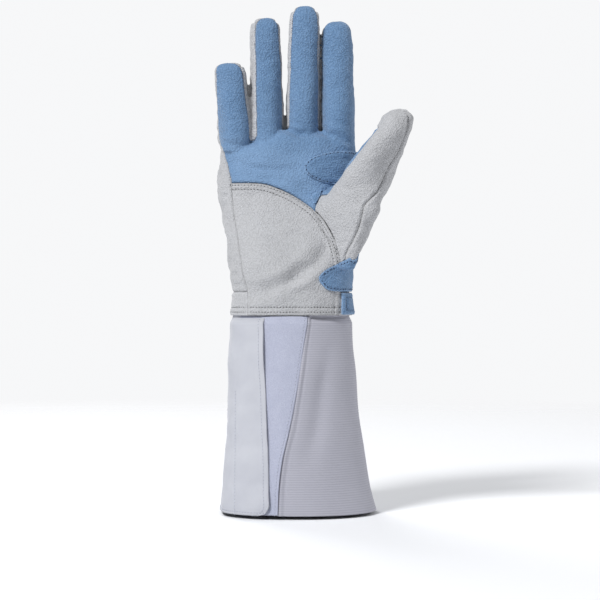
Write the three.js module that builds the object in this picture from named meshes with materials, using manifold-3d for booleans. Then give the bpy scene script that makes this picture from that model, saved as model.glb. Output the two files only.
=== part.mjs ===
// A right-hand sports glove with a long flared cuff, standing with its fingers up.
// Millimetres: +X towards the thumb, +Y towards the back of the hand, +Z towards the fingertips.
// The origin is the centre of the arm opening, in the plane of the cuff's rim.

import * as THREE from "three";
import { mergeVertices } from "three/addons/utils/BufferGeometryUtils.js";
import Module from "manifold-3d";

const wasm = await Module();
wasm.setup();

// Lengths along the hand
const cuffLength = 135;
const palmLength = 125;
const indexLength = 80;
const middleLength = 90;
const ringLength = 81.5;
const littleLength = 50;
const thumbLength = 98;
const hemHeight = 16;
const hemLap = 9;

// Widths and depths
const mouthWidth = 109;
const mouthDepth = 97;
const wristWidth = 85;
const wristDepth = 70;
const palmWidth = 95;
const palmDepth = 48;
const fingerWidth = 23.6;
const fingerDepth = 38;
const thumbWidth = 33;
const thumbReach = 34;
const thumbForward = 19.5;
const flapLap = 24;
const elasticLap = 9;
const flapCorner = 9;

// Thicknesses and clearances
const skin = 1.4;
const padding = 3;
const patch = 1.2;
const cuffCloth = 1.4;
const elastic = 1.6;
const pile = 1.4;
const seamGap = 0.3;
const leastAxis = 0.5;

// Numbers of flat sides round each limb, and of columns in each wall of the cuff
const handSides = 28;
const fingerSides = 12;
const thumbSides = 14;
const webSides = 8;
const wallColumns = { cloth: 26, elastic: 14, loop: 5 };
const curveSteps = 18;

// Places that follow from the sizes
const fingerRoot = cuffLength + palmLength;
const hemTop = cuffLength + hemHeight;
const far = 3 * (mouthWidth + thumbReach);

const mix = THREE.MathUtils.lerp;
const radians = THREE.MathUtils.degToRad;

// The hand from the hem to the finger roots. rise is a share of the palm's length, taper goes from
// the palm's width and depth (0) to the wrist's (1), and the four sides are shares of those.
const handRows = [
  { rise: 0.0, taper: 1.0, left: -0.5, right: 0.505, front: -0.5, back: 0.508 },
  { rise: 0.14, taper: 1.0, left: -0.478, right: 0.486, front: -0.5, back: 0.503 },
  { rise: 0.197, taper: 0.9, left: -0.482, right: 0.482, front: -0.51, back: 0.487 },
  { rise: 0.25, taper: 0.8, left: -0.486, right: 0.478, front: -0.52, back: 0.535 },
  { rise: 0.295, taper: 0.72, left: -0.49, right: 0.472, front: -0.52, back: 0.55 },
  { rise: 0.331, taper: 0.65, left: -0.492, right: 0.468, front: -0.5, back: 0.527 },
  { rise: 0.37, taper: 0.58, left: -0.494, right: 0.464, front: -0.47, back: 0.585 },
  { rise: 0.42, taper: 0.5, left: -0.498, right: 0.459, front: -0.424, back: 0.605 },
  { rise: 0.555, taper: 0.25, left: -0.515, right: 0.469, front: -0.299, back: 0.693 },
  { rise: 0.69, taper: 0.0, left: -0.53, right: 0.472, front: -0.233, back: 0.758 },
  { rise: 0.824, taper: 0.0, left: -0.523, right: 0.484, front: -0.25, back: 0.729 },
  { rise: 0.925, taper: 0.0, left: -0.523, right: 0.479, front: -0.233, back: 0.645 },
  { rise: 0.985, taper: 0.0, left: -0.52, right: 0.472, front: -0.2, back: 0.62 },
  { rise: 1.03, taper: 0.0, left: -0.46, right: 0.42, front: -0.05, back: 0.48 },
];
const handSquare = 2.6;
const capRise = 0.9;

// The profile that the four fingers share: rise is a share of the finger's length above its root,
// width and depth are shares of the finger sizes, and lean is a share of the way from root to tip.
const fingerRows = [
  { rise: -0.22, width: 0.9, depth: 0.85, lean: 0.0 },
  { rise: 0.0, width: 1.02, depth: 1.0, lean: 0.0 },
  { rise: 0.12, width: 1.0, depth: 0.97, lean: 0.08 },
  { rise: 0.32, width: 0.99, depth: 0.88, lean: 0.25 },
  { rise: 0.5, width: 0.97, depth: 0.75, lean: 0.44 },
  { rise: 0.68, width: 0.95, depth: 0.59, lean: 0.64 },
  { rise: 0.85, width: 0.93, depth: 0.5, lean: 0.83 },
  { rise: 0.94, width: 0.84, depth: 0.4, lean: 0.94 },
  { rise: 0.985, width: 0.6, depth: 0.27, lean: 0.98 },
  { rise: 1.0, width: 0.36, depth: 0.14, lean: 1.0 },
];
const fingerSquare = 2.5;

// Where each finger stands: root and tip across the palm's width, and forward and back over its
// depth.
const fingers = [
  { name: "index", length: indexLength, root: 0.349, tip: 0.335, rootDeep: 0.22, tipDeep: 0.02 },
  { name: "middle", length: middleLength, root: 0.085, tip: 0.1, rootDeep: 0.22, tipDeep: -0.11 },
  { name: "ring", length: ringLength, root: -0.177, tip: -0.195, rootDeep: 0.21, tipDeep: -0.12 },
  { name: "little", length: littleLength, root: -0.406, tip: -0.448, rootDeep: 0.19, tipDeep: -0.17 },
];

// Height of the foot of the slits between the fingers, a share of the palm's length
const webRise = 1.0;

// The thumb from its lowest point on the heel of the hand to its tip. rise is a share of its
// length, out and forward are shares of its reach, long and short are its half axes as shares of
// its width, and turn is the angle of the long axis about Z, in degrees.
const thumbRows = [
  { rise: -0.08, out: -0.02, forward: 0.1, long: 0.16, short: 0.08, turn: -40 },
  { rise: 0.0, out: 0.02, forward: 0.22, long: 0.22, short: 0.13, turn: -40 },
  { rise: 0.11, out: 0.05, forward: 0.09, long: 0.37, short: 0.25, turn: -41 },
  { rise: 0.22, out: 0.03, forward: 0.0, long: 0.57, short: 0.3, turn: -38 },
  { rise: 0.335, out: 0.0, forward: 0.0, long: 0.79, short: 0.3, turn: -37 },
  { rise: 0.45, out: 0.21, forward: 0.05, long: 0.69, short: 0.42, turn: -42 },
  { rise: 0.56, out: 0.41, forward: 0.28, long: 0.55, short: 0.5, turn: -45 },
  { rise: 0.665, out: 0.56, forward: 0.57, long: 0.51, short: 0.475, turn: -70 },
  { rise: 0.77, out: 0.73, forward: 0.81, long: 0.495, short: 0.425, turn: -85 },
  { rise: 0.885, out: 0.92, forward: 0.98, long: 0.43, short: 0.35, turn: -90 },
  { rise: 0.955, out: 0.985, forward: 1.0, long: 0.34, short: 0.31, turn: -90 },
  { rise: 1.0, out: 1.0, forward: 1.0, long: 0.17, short: 0.16, turn: -90 },
];
const thumbSquare = 2.2;

// The web that joins the thumb to the palm, in the same shares as the thumb.
const webRows = [
  { rise: 0.086, out: -0.194, forward: -0.154, long: 0.06, short: 0.045, turn: -38 },
  { rise: 0.13, out: -0.224, forward: -0.205, long: 0.15, short: 0.12, turn: -38 },
  { rise: 0.212, out: -0.253, forward: -0.385, long: 0.27, short: 0.21, turn: -38 },
  { rise: 0.335, out: -0.268, forward: -0.59, long: 0.364, short: 0.288, turn: -37 },
  { rise: 0.45, out: -0.224, forward: -0.667, long: 0.303, short: 0.227, turn: -37 },
  { rise: 0.5, out: -0.135, forward: -0.718, long: 0.18, short: 0.136, turn: -37 },
  { rise: 0.525, out: -0.106, forward: -0.718, long: 0.06, short: 0.045, turn: -37 },
];
const thumbRoot = { across: 0.406, deep: -0.52, rise: 0.325 };

// The cuff from its rim up to the hem: rise is a share of its length, flare is how far its width
// and depth have opened from the wrist (0) to the mouth (1), and the shifts move its centre.
const cuffRows = [
  { rise: 0.0, flareWide: 1.0, flareDeep: 1.0, shiftWide: 0.045, shiftDeep: -0.022 },
  { rise: 0.145, flareWide: 0.75, flareDeep: 0.85, shiftWide: 0.029, shiftDeep: -0.018 },
  { rise: 0.31, flareWide: 0.46, flareDeep: 0.69, shiftWide: 0.023, shiftDeep: -0.018 },
  { rise: 0.56, flareWide: 0.23, flareDeep: 0.35, shiftWide: 0.01, shiftDeep: -0.014 },
  { rise: 0.73, flareWide: 0.11, flareDeep: 0.21, shiftWide: 0.003, shiftDeep: -0.01 },
  { rise: 0.85, flareWide: 0.03, flareDeep: 0.08, shiftWide: 0.0, shiftDeep: -0.007 },
  { rise: 1.0, flareWide: 0.0, flareDeep: 0.0, shiftWide: 0.0, shiftDeep: 0.0 },
];
const cuffSquare = 2.2;

// The seams that part the front of the hand from its back. ulnar is the seam's place across the
// palm's width on the little finger's side, radial its place in the palm's depth on the other.
const seamRows = [
  { rise: -0.1, ulnar: -0.315, radial: 0.1 },
  { rise: 0.14, ulnar: -0.322, radial: 0.105 },
  { rise: 0.26, ulnar: -0.358, radial: 0.14 },
  { rise: 0.45, ulnar: -0.395, radial: 0.195 },
  { rise: 0.6, ulnar: -0.427, radial: 0.26 },
  { rise: 0.74, ulnar: -0.442, radial: 0.31 },
  { rise: 0.82, ulnar: -0.47, radial: 0.32 },
  { rise: 0.93, ulnar: -0.505, radial: 0.325 },
  { rise: 1.0, ulnar: -0.51, radial: 0.32 },
];

// The seams of a finger as shares of its depth from its centre line, and the ulnar seam of the
// little finger as a share of its half width.
const fingerSeam = { front: -0.4, back: 0.26, radial: 0.13, ulnar: -0.9 };
const seamTop = 0.95;

// The upper edge of the heel patch, from the ulnar seam to the foot of the thumb.
const heelEdge = [
  { across: -0.6, rise: 0.738 },
  { across: -0.437, rise: 0.736 },
  { across: -0.218, rise: 0.73 },
  { across: -0.094, rise: 0.702 },
  { across: 0.03, rise: 0.657 },
  { across: 0.146, rise: 0.596 },
  { across: 0.24, rise: 0.518 },
  { across: 0.312, rise: 0.418 },
  { across: 0.355, rise: 0.314 },
];

// The side panel: a half ellipse on the palm below the index finger, and a rounded tab on the heel.
const tongue = { across: 0.484, rise: 0.82, reach: 0.39, height: 0.1 };
const tabEdge = [
  { across: 0.6, rise: 0.43 },
  { across: 0.5, rise: 0.365 },
  { across: 0.43, rise: 0.32 },
  { across: 0.332, rise: 0.28 },
  { across: 0.25, rise: 0.248 },
  { across: 0.2, rise: 0.205 },
  { across: 0.235, rise: 0.157 },
  { across: 0.31, rise: 0.133 },
  { across: 0.6, rise: 0.131 },
];
const sideFrom = 0.38;
const ledgeRise = 0.915;
const wristTab = { from: 0.36, to: 0.14 };

// The edges on the cuff's front and radial side, as shares of its half width and half depth there.
const flapEdge = { top: -0.42, rim: -0.32 };
const foldRows = [
  { rise: 0.0, across: -0.256 },
  { rise: 0.25, across: -0.19 },
  { rise: 0.44, across: -0.06 },
  { rise: 0.66, across: 0.09 },
  { rise: 1.0, across: 0.27 },
];
const elasticEdge = { top: 0.168, rim: 0.203 };
const flapClear = 0.06;
const flapTurn = { from: 188, to: 214 };
const elasticTurn = { from: 12, to: 40 };

// Angles of the thumb's seams about its centre line, in degrees from +X.
const thumbSeams = { outer: -46, inner: 60, foot: 112, strip: 205 };
const stripFoot = 0.47;
const stripTop = 0.88;
const fullTurn = 360;

// Fills in a row between two rows of a table, for a value of one of its columns.
function rowAt(rows, column, value) {
  const last = rows.length - 1;
  const next = rows.findIndex((row) => row[column] >= value);
  if (next === 0) return { ...rows[0] };
  if (next < 0) return { ...rows[last] };
  const low = rows[next - 1];
  const high = rows[next];
  const share = (value - low[column]) / (high[column] - low[column]);
  return Object.fromEntries(Object.keys(low).map((key) => [key, mix(low[key], high[key], share)]));
}

// A section of a limb: a flattened ellipse at one height, with its centre and its half axes.
function handSection(row) {
  const width = mix(palmWidth, wristWidth, row.taper);
  const depth = mix(palmDepth, wristDepth, row.taper);
  return {
    x: ((row.left + row.right) / 2) * width,
    y: ((row.front + row.back) / 2) * depth,
    z: cuffLength + row.rise * palmLength,
    long: ((row.right - row.left) / 2) * width,
    short: ((row.back - row.front) / 2) * depth,
    turn: 0,
    square: handSquare,
    end: Math.max(0, (row.rise - capRise) / (handRows[handRows.length - 1].rise - capRise)),
  };
}

function fingerSection(finger, row) {
  return {
    x: mix(finger.root, finger.tip, row.lean) * palmWidth,
    y: mix(finger.rootDeep, finger.tipDeep, row.lean) * palmDepth,
    z: fingerRoot + row.rise * finger.length,
    long: (row.width * fingerWidth) / 2,
    short: (row.depth * fingerDepth) / 2,
    turn: 0,
    square: fingerSquare,
    end: Math.max(0, row.rise),
  };
}

function thumbSection(row) {
  return {
    x: thumbRoot.across * palmWidth + row.out * thumbReach,
    y: thumbRoot.deep * palmDepth - row.forward * thumbForward,
    z: cuffLength + thumbRoot.rise * palmLength + row.rise * thumbLength,
    long: row.long * thumbWidth,
    short: row.short * thumbWidth,
    turn: radians(row.turn),
    square: thumbSquare,
    end: row.rise,
  };
}

function cuffSection(row) {
  return {
    x: row.shiftWide * mouthWidth,
    y: row.shiftDeep * mouthDepth,
    z: row.rise * cuffLength,
    long: mix(wristWidth, mouthWidth, row.flareWide) / 2,
    short: mix(wristDepth, mouthDepth, row.flareDeep) / 2,
    turn: 0,
    square: cuffSquare,
  };
}

// A point on a section, moved out by an offset.
function sectionPoint(section, angle, offset) {
  const bend = 2 / section.square;
  const along = Math.sign(Math.cos(angle)) * Math.abs(Math.cos(angle)) ** bend;
  const across = Math.sign(Math.sin(angle)) * Math.abs(Math.sin(angle)) ** bend;
  const u = Math.max(section.long + offset, leastAxis) * along;
  const v = Math.max(section.short + offset, leastAxis) * across;
  return new THREE.Vector3(
    section.x + u * Math.cos(section.turn) - v * Math.sin(section.turn),
    section.y + u * Math.sin(section.turn) + v * Math.cos(section.turn),
    section.z,
  );
}

// A solid for joining and cutting, from points and triangles.
function solidFrom(points, triangles) {
  return new wasm.Manifold(
    new wasm.Mesh({
      numProp: 3,
      vertProperties: new Float32Array(points.flatMap((p) => [p.x, p.y, p.z])),
      triVerts: new Uint32Array(triangles.flat()),
    }),
  );
}

// The triangles between rings of points, one above the other, each anticlockwise from above.
function ringTriangles(rings, count) {
  const triangles = [];
  for (let k = 0; k + 1 < rings; k++) {
    for (let i = 0; i < count; i++) {
      const a = k * count + i;
      const b = k * count + ((i + 1) % count);
      triangles.push([a, b, b + count], [a, b + count, a + count]);
    }
  }
  return triangles;
}

// A closed solid through such rings.
function skinRings(rings) {
  const count = rings[0].length;
  const triangles = ringTriangles(rings.length, count);
  const top = (rings.length - 1) * count;
  for (let i = 1; i + 1 < count; i++) {
    triangles.push([0, i + 1, i], [top, top + i, top + i + 1]);
  }
  return solidFrom(rings.flat(), triangles);
}

// A limb through its sections, grown or shrunk by an offset. A shrunk limb that is open at its
// foot runs on below it, so that what it hollows out is open there.
function limb(sections, sides, offset, openFoot = false) {
  const moved = sections.map((s) => ({ ...s, z: s.z + offset * s.end }));
  if (openFoot && offset < 0) moved.unshift({ ...moved[0], z: moved[0].z - hemHeight });
  const angles = Array.from({ length: sides }, (_, i) => ((i + 0.5) / sides) * 2 * Math.PI);
  return skinRings(moved.map((s) => angles.map((angle) => sectionPoint(s, angle, offset))));
}

const fingerSections = fingers.map((finger) => fingerRows.map((row) => fingerSection(finger, row)));

function handForm(offset) {
  const palm = limb(handRows.map(handSection), handSides, offset, true);
  return fingerSections.reduce((form, s) => form.add(limb(s, fingerSides, offset)), palm);
}

function thumbForm(offset) {
  const thumb = limb(thumbRows.map(thumbSection), thumbSides, offset);
  return thumb.add(limb(webRows.map(thumbSection), webSides, offset));
}

// A block with upright flat sides, given by its four sides at several heights, grown by a margin.
function block(rows, margin = 0) {
  const foot = { ...rows[0], z: rows[0].z - margin };
  const head = { ...rows[rows.length - 1], z: rows[rows.length - 1].z + margin };
  const grown = margin > 0 ? [foot, ...rows, head] : rows;
  return skinRings(
    grown.map((row) => [
      new THREE.Vector3(row.left - margin, row.front - margin, row.z),
      new THREE.Vector3(row.right + margin, row.front - margin, row.z),
      new THREE.Vector3(row.right + margin, row.back + margin, row.z),
      new THREE.Vector3(row.left - margin, row.back + margin, row.z),
    ]),
  );
}

// A prism with an outline drawn in the XZ plane, running all the way from front to back.
function prism(shape) {
  const geometry = new THREE.ExtrudeGeometry(shape, {
    depth: 2 * far,
    bevelEnabled: false,
    curveSegments: curveSteps / 2,
  });
  geometry.translate(0, 0, -far);
  geometry.rotateX(Math.PI / 2);
  geometry.deleteAttribute("normal");
  geometry.deleteAttribute("uv");
  const merged = mergeVertices(geometry);
  const position = merged.getAttribute("position");
  const points = Array.from({ length: position.count }, (_, i) =>
    new THREE.Vector3().fromBufferAttribute(position, i),
  );
  return solidFrom(points, [Array.from(merged.index.array)]);
}

function outlinePoint(row) {
  return new THREE.Vector2(row.across * palmWidth, cuffLength + row.rise * palmLength);
}

// The seams' places at a height between the hem and the finger roots.
function handSeam(rise) {
  const row = rowAt(seamRows, "rise", rise);
  return {
    z: cuffLength + rise * palmLength,
    ulnar: row.ulnar * palmWidth,
    radial: row.radial * palmDepth,
  };
}

// What belongs to the front of the hand: the palm, the finger fronts and the index's outer side.
function frontRegion(margin) {
  const palmRows = seamRows.map((row) => {
    const seam = handSeam(row.rise);
    return { z: seam.z, left: seam.ulnar, right: far, front: -far, back: seam.radial };
  });
  const columns = fingers.map((finger, i) => {
    const last = i === fingers.length - 1;
    const rows = fingerSections[i].slice(1).map((s) => ({
      z: s.z,
      left: last ? s.x + fingerSeam.ulnar * s.long : s.x - fingerWidth / 2,
      right: i === 0 ? far : s.x + fingerWidth / 2,
      front: -far,
      back: s.y + 2 * fingerSeam.front * s.short,
    }));
    return block(rows, margin);
  });
  const side = fingerSections[0].slice(1).map((s) => ({
    z: s.z,
    left: s.x,
    right: far,
    front: -far,
    back: s.y + 2 * fingerSeam.radial * s.short,
  }));
  return columns
    .reduce((region, column) => region.add(column), block(palmRows, margin))
    .add(block(side, margin));
}

// What belongs to the strip between two fingers: the inner side of each, joined below the slit.
function stripRegion(index, margin) {
  const sides = [
    { sections: fingerSections[index], other: fingerSections[index + 1] },
    { sections: fingerSections[index + 1], other: fingerSections[index] },
  ];
  const web = cuffLength + webRise * palmLength;
  const halves = sides.map(({ sections, other }) => {
    const rows = sections
      .filter((s, i) => fingerRows[i].rise >= 0 && fingerRows[i].rise < seamTop)
      .map((s, i) => {
        const middle = (s.x + other[i + 1].x) / 2;
        const past = Math.sign(middle - s.x) * skin;
        return {
          z: i === 0 ? web - 2 * skin : s.z,
          left: Math.min(s.x, middle + past),
          right: Math.max(s.x, middle + past),
          front: s.y + 2 * fingerSeam.front * s.short,
          back: s.y + 2 * fingerSeam.back * s.short,
        };
      });
    return block(rows, margin);
  });
  return halves[0].add(halves[1]);
}

// The heel of the hand: below the patch's curved upper edge and short of the thumb's side.
function heelRegion(margin) {
  const edge = new THREE.SplineCurve(heelEdge.map(outlinePoint)).getPoints(curveSteps);
  const right = edge[edge.length - 1].x + margin;
  const shape = new THREE.Shape();
  shape.moveTo(-far, cuffLength - hemHeight);
  shape.lineTo(right, cuffLength - hemHeight);
  shape.lineTo(right, edge[edge.length - 1].y);
  edge.reverse().forEach((p) => shape.lineTo(p.x + margin, p.y + margin));
  shape.lineTo(-far, edge[edge.length - 1].y + margin);
  return prism(shape);
}

// The side panel's outline: round the thumb's foot, with the tongue and the tab on the palm side.
function sideRegion() {
  const seams = handRows.slice(1).map((row) => handSeam(row.rise));
  const rows = seams
    .filter((seam) => seam.z < cuffLength + ledgeRise * palmLength)
    .map((seam) => ({
      z: seam.z,
      left: sideFrom * palmWidth,
      right: far,
      front: -far,
      back: seam.radial,
    }));
  rows[0].z = hemTop;
  rows.push({ ...rows[rows.length - 1], z: cuffLength + ledgeRise * palmLength });
  const oval = new THREE.Shape();
  oval.absellipse(
    tongue.across * palmWidth,
    cuffLength + tongue.rise * palmLength,
    tongue.reach * palmWidth,
    tongue.height * palmLength,
    0,
    2 * Math.PI,
  );
  const tab = new THREE.Shape(new THREE.SplineCurve(tabEdge.map(outlinePoint)).getPoints(curveSteps));
  const front = block([
    { z: 0, left: -far, right: far, front: -far, back: 0 },
    { z: far, left: -far, right: far, front: -far, back: 0 },
  ]);
  return prism(oval).add(prism(tab)).intersect(front).add(block(rows));
}

// The level band from one height to another.
function level(from, to) {
  return block([
    { z: from, left: -far, right: far, front: -far, back: far },
    { z: to, left: -far, right: far, front: -far, back: far },
  ]);
}

// A wedge about the thumb's centre line between two of its seam angles, kept half a gap from each.
function thumbWedge(from, to) {
  const half = radians(to - from) / 2;
  const bisector = radians((from + to) / 2);
  const start = seamGap / 2 / Math.sin(half);
  const rings = thumbRows.map((row, i) => {
    const s = thumbSection(row);
    const last = i === thumbRows.length - 1;
    const z = s.z + (last ? far : 0) - (i === 0 ? hemHeight : 0);
    const apex = new THREE.Vector3(
      s.x + start * Math.cos(bisector),
      s.y + start * Math.sin(bisector),
      z,
    );
    const edge = (angle) =>
      new THREE.Vector3(apex.x + far * Math.cos(angle), apex.y + far * Math.sin(angle), z);
    return [apex, edge(bisector - half), edge(bisector), edge(bisector + half)];
  });
  return skinRings(rings);
}

// The cuff's section at a height. Above the hem's lower edge it is tucked inside the hand.
function cuffSectionAt(z) {
  if (z < cuffLength - seamGap) return cuffSection(rowAt(cuffRows, "rise", z / cuffLength));
  const rise = (z - cuffLength) / palmLength;
  const tucked = handSection(rowAt(handRows, "rise", rise));
  const inside = skin + seamGap;
  return { ...tucked, z, long: tucked.long - inside, short: tucked.short - inside };
}

// The angle at which the cuff's front passes a share of its half width, and the one at which its
// radial side passes a share of its half depth.
function frontAngle(across) {
  return -Math.acos(Math.sign(across) * Math.abs(across) ** (cuffSquare / 2));
}

function radialAngle(deep) {
  return Math.asin(Math.sign(deep) * Math.abs(deep) ** (cuffSquare / 2));
}

// A curved wall of the cuff between two angles, which may change with height.
function cuffWall({ heights, columns, from, to, inner, outer }) {
  const corner = (z, share, offset) => {
    const angle = mix(from(z), to(z), share);
    return sectionPoint(cuffSectionAt(z), angle, offset(angle));
  };
  const shares = Array.from({ length: columns + 1 }, (_, i) => i / columns);
  const rings = heights.map((z) => [
    ...shares.map((share) => corner(z, share, outer)),
    ...shares.map((share) => corner(z, 1 - share, inner)),
  ]);
  const count = 2 * (columns + 1);
  const triangles = ringTriangles(rings.length, count);
  const top = (rings.length - 1) * count;
  for (let i = 0; i < columns; i++) {
    const [a, b, c, d] = [i, i + 1, count - 2 - i, count - 1 - i];
    triangles.push([a, c, b], [a, d, c]);
    triangles.push([top + a, top + b, top + c], [top + a, top + c, top + d]);
  }
  return solidFrom(rings.flat(), triangles);
}

// Heights at which the cuff's walls are drawn: round the flap's corner, at its sections, in the hem
const cornerHeights = [0, 0.25, 0.6, 1].map((share) => share * flapCorner);
const wallHeights = cuffRows.slice(1, -1).map((row) => row.rise * cuffLength);
const cuffTop = cuffLength - 2 * seamGap;
const lapHeights = [cuffTop, cuffLength - seamGap, cuffLength + hemLap];

function elasticPanel() {
  const lap = elasticLap / (wristWidth / 2);
  return cuffWall({
    heights: [0, ...wallHeights, ...lapHeights],
    columns: wallColumns.elastic,
    from: (z) => frontAngle(rowAt(foldRows, "rise", z / cuffLength).across) - lap,
    to: (z) => radialAngle(mix(elasticEdge.rim, elasticEdge.top, Math.min(z / cuffLength, 1))),
    inner: () => -elastic,
    outer: () => 0,
  });
}

function loopStrip() {
  return cuffWall({
    heights: [0, ...wallHeights, cuffTop],
    columns: wallColumns.loop,
    from: (z) =>
      frontAngle(mix(flapEdge.rim, flapEdge.top, z / cuffLength)) - flapLap / (wristWidth / 2),
    to: (z) => frontAngle(rowAt(foldRows, "rise", z / cuffLength).across),
    inner: () => seamGap,
    outer: () => seamGap + pile,
  });
}

// The plain cloth starts under the elastic's edge, runs round the back and rises into the flap.
function clothOffset(angle) {
  const under = -elastic - seamGap;
  const over = 2 * seamGap + pile + cuffCloth;
  const turned = THREE.MathUtils.radToDeg(angle);
  const rise = THREE.MathUtils.smoothstep(turned, flapTurn.from, flapTurn.to);
  const sink = 1 - THREE.MathUtils.smoothstep(turned, elasticTurn.from, elasticTurn.to);
  return rise * over + sink * under;
}

function cuffPanel() {
  const lap = elasticLap / (wristWidth / 2);
  const wall = cuffWall({
    heights: [...cornerHeights, ...wallHeights, ...lapHeights],
    columns: wallColumns.cloth,
    from: (z) => radialAngle(mix(elasticEdge.rim, elasticEdge.top, Math.min(z / cuffLength, 1))) - lap,
    to: (z) => {
      const edge = frontAngle(mix(flapEdge.rim, flapEdge.top, Math.min(z / cuffLength, 1)));
      const drop = Math.max(0, 1 - z / flapCorner);
      const round = (flapCorner * (1 - Math.sqrt(1 - drop * drop))) / (mouthWidth / 2);
      return 2 * Math.PI + edge - round;
    },
    inner: (angle) => clothOffset(angle) - cuffCloth,
    outer: (angle) => clothOffset(angle),
  });
  const cut = { left: -far, right: 0, front: -far, back: -flapClear * wristDepth };
  const aboveFlap = block([
    { ...cut, z: cuffTop },
    { ...cut, z: far },
  ]);
  return wall.subtract(aboveFlap);
}

// Finishes of the pieces
const blueSuede = { color: 0x6f95bf, roughness: 0.95, metalness: 0 };
const greySuede = { color: 0xb6b8bc, roughness: 0.95, metalness: 0 };
const cloth = { color: 0xc9cbd4, roughness: 0.85, metalness: 0 };
const ribbed = { color: 0xb9b9c4, roughness: 0.9, metalness: 0 };
const fuzzy = { color: 0xbcc2d6, roughness: 1, metalness: 0 };

const glove = new THREE.Group();

// Adds a named piece, without the crumbs that a cut can leave beside it.
function addPiece(name, solid, finish) {
  const bodies = solid.decompose().sort((a, b) => b.volume() - a.volume());
  const { numProp, vertProperties, triVerts } = bodies[0].getMesh();
  const position = new Float32Array((vertProperties.length / numProp) * 3);
  for (let i = 0; i < position.length / 3; i++) {
    position.set(vertProperties.subarray(i * numProp, i * numProp + 3), 3 * i);
  }
  const geometry = new THREE.BufferGeometry();
  geometry.setAttribute("position", new THREE.BufferAttribute(position, 3));
  geometry.setIndex(new THREE.BufferAttribute(triVerts, 1));
  geometry.computeVertexNormals();
  const piece = new THREE.Mesh(geometry, new THREE.MeshStandardMaterial(finish));
  piece.name = name;
  glove.add(piece);
}

// Forms that several pieces are cut from
const hand = handForm(0);
const thumb = thumbForm(0);
const thumbHollow = thumbForm(-skin);
const leather = hand.subtract(handForm(-skin)).subtract(thumbHollow);
const padded = hand.subtract(handForm(-padding)).subtract(thumbHollow);
const overlay = handForm(seamGap + patch).subtract(handForm(seamGap)).subtract(thumbForm(seamGap));
const strips = [0, 1, 2].map((i) => stripRegion(i, seamGap));
const stripsGrown = strips[0].add(strips[1]).add(strips[2]);
const aboveHem = level(hemTop + seamGap, far);

// Hand
const front = leather.intersect(frontRegion(0)).subtract(stripsGrown);
addPiece("palm_panel", front.subtract(heelRegion(seamGap)).intersect(aboveHem), blueSuede);
addPiece("heel_patch", front.intersect(heelRegion(0)), greySuede);
addPiece(
  "back_panel",
  padded.intersect(aboveHem).subtract(frontRegion(seamGap)).subtract(stripsGrown),
  greySuede,
);
addPiece(
  "wrist_band",
  leather.intersect(level(0, hemTop)).subtract(frontRegion(seamGap).intersect(heelRegion(seamGap))),
  greySuede,
);
fingers.slice(1).forEach((finger, i) => {
  const strip = leather.intersect(stripRegion(i, 0));
  addPiece(`fourchette_${fingers[i].name}_${finger.name}`, strip, greySuede);
});

// Reinforcements
addPiece("side_panel", overlay.intersect(sideRegion()).intersect(aboveHem), blueSuede);
const tabSides = {
  left: wristTab.from * palmWidth,
  right: far,
  front: -far,
  back: wristTab.to * palmDepth,
};
const tabBlock = block([
  { ...tabSides, z: cuffLength },
  { ...tabSides, z: hemTop - seamGap },
]);
addPiece("wrist_tab", overlay.intersect(tabBlock), blueSuede);

// Thumb
const thumbSkin = thumb.subtract(thumbHollow).subtract(handForm(seamGap));
const thumbLevel = (rise) => thumbSection(rowAt(thumbRows, "rise", rise)).z;
const [footLevel, topLevel] = [stripFoot, stripTop].map(thumbLevel);
const aboveStrip = level(topLevel + seamGap, far);
const besideStrip = level(footLevel, topLevel);
const belowStrip = level(0, footLevel - seamGap);
const frontEnd = fullTurn + thumbSeams.outer;
const frontWedge = thumbWedge(thumbSeams.strip, frontEnd)
  .add(thumbWedge(thumbSeams.inner, frontEnd).intersect(aboveStrip))
  .add(thumbWedge(thumbSeams.foot, frontEnd).intersect(belowStrip));
const backWedge = thumbWedge(thumbSeams.outer, thumbSeams.inner)
  .add(thumbWedge(thumbSeams.outer, thumbSeams.foot).intersect(belowStrip));
const stripWedge = thumbWedge(thumbSeams.inner, thumbSeams.strip).intersect(besideStrip);
addPiece("thumb_front", thumbSkin.intersect(frontWedge), greySuede);
addPiece("thumb_back", thumbSkin.intersect(backWedge), greySuede);
addPiece("thumb_strip", thumbSkin.intersect(stripWedge), blueSuede);

// Cuff
addPiece("cuff_panel", cuffPanel(), cloth);
addPiece("elastic_panel", elasticPanel(), ribbed);
addPiece("loop_strip", loopStrip(), fuzzy);

export default glove;
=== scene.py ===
# A right-hand sports glove with a long flared cuff, dressed in suede, plain cloth and elastic.
# The tables are in millimetres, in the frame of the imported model: +X towards the thumb, +Y towards
# the back of the hand, +Z towards the fingertips. Meshes are made in metres.
import math

import bmesh
import bpy
import numpy as np
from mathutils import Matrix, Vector, kdtree


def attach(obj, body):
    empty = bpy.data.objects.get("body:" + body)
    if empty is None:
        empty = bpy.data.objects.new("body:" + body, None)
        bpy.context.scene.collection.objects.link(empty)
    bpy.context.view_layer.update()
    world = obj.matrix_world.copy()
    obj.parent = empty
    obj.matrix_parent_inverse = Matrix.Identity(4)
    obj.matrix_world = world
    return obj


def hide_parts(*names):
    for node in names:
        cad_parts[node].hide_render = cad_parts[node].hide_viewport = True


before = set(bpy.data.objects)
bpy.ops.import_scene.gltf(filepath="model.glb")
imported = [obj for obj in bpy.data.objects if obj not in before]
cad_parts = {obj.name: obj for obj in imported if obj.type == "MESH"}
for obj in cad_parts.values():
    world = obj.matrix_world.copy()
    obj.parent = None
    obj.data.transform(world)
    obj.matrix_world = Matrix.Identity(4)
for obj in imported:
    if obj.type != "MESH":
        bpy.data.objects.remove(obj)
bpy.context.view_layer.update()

MM = 0.001

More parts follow.
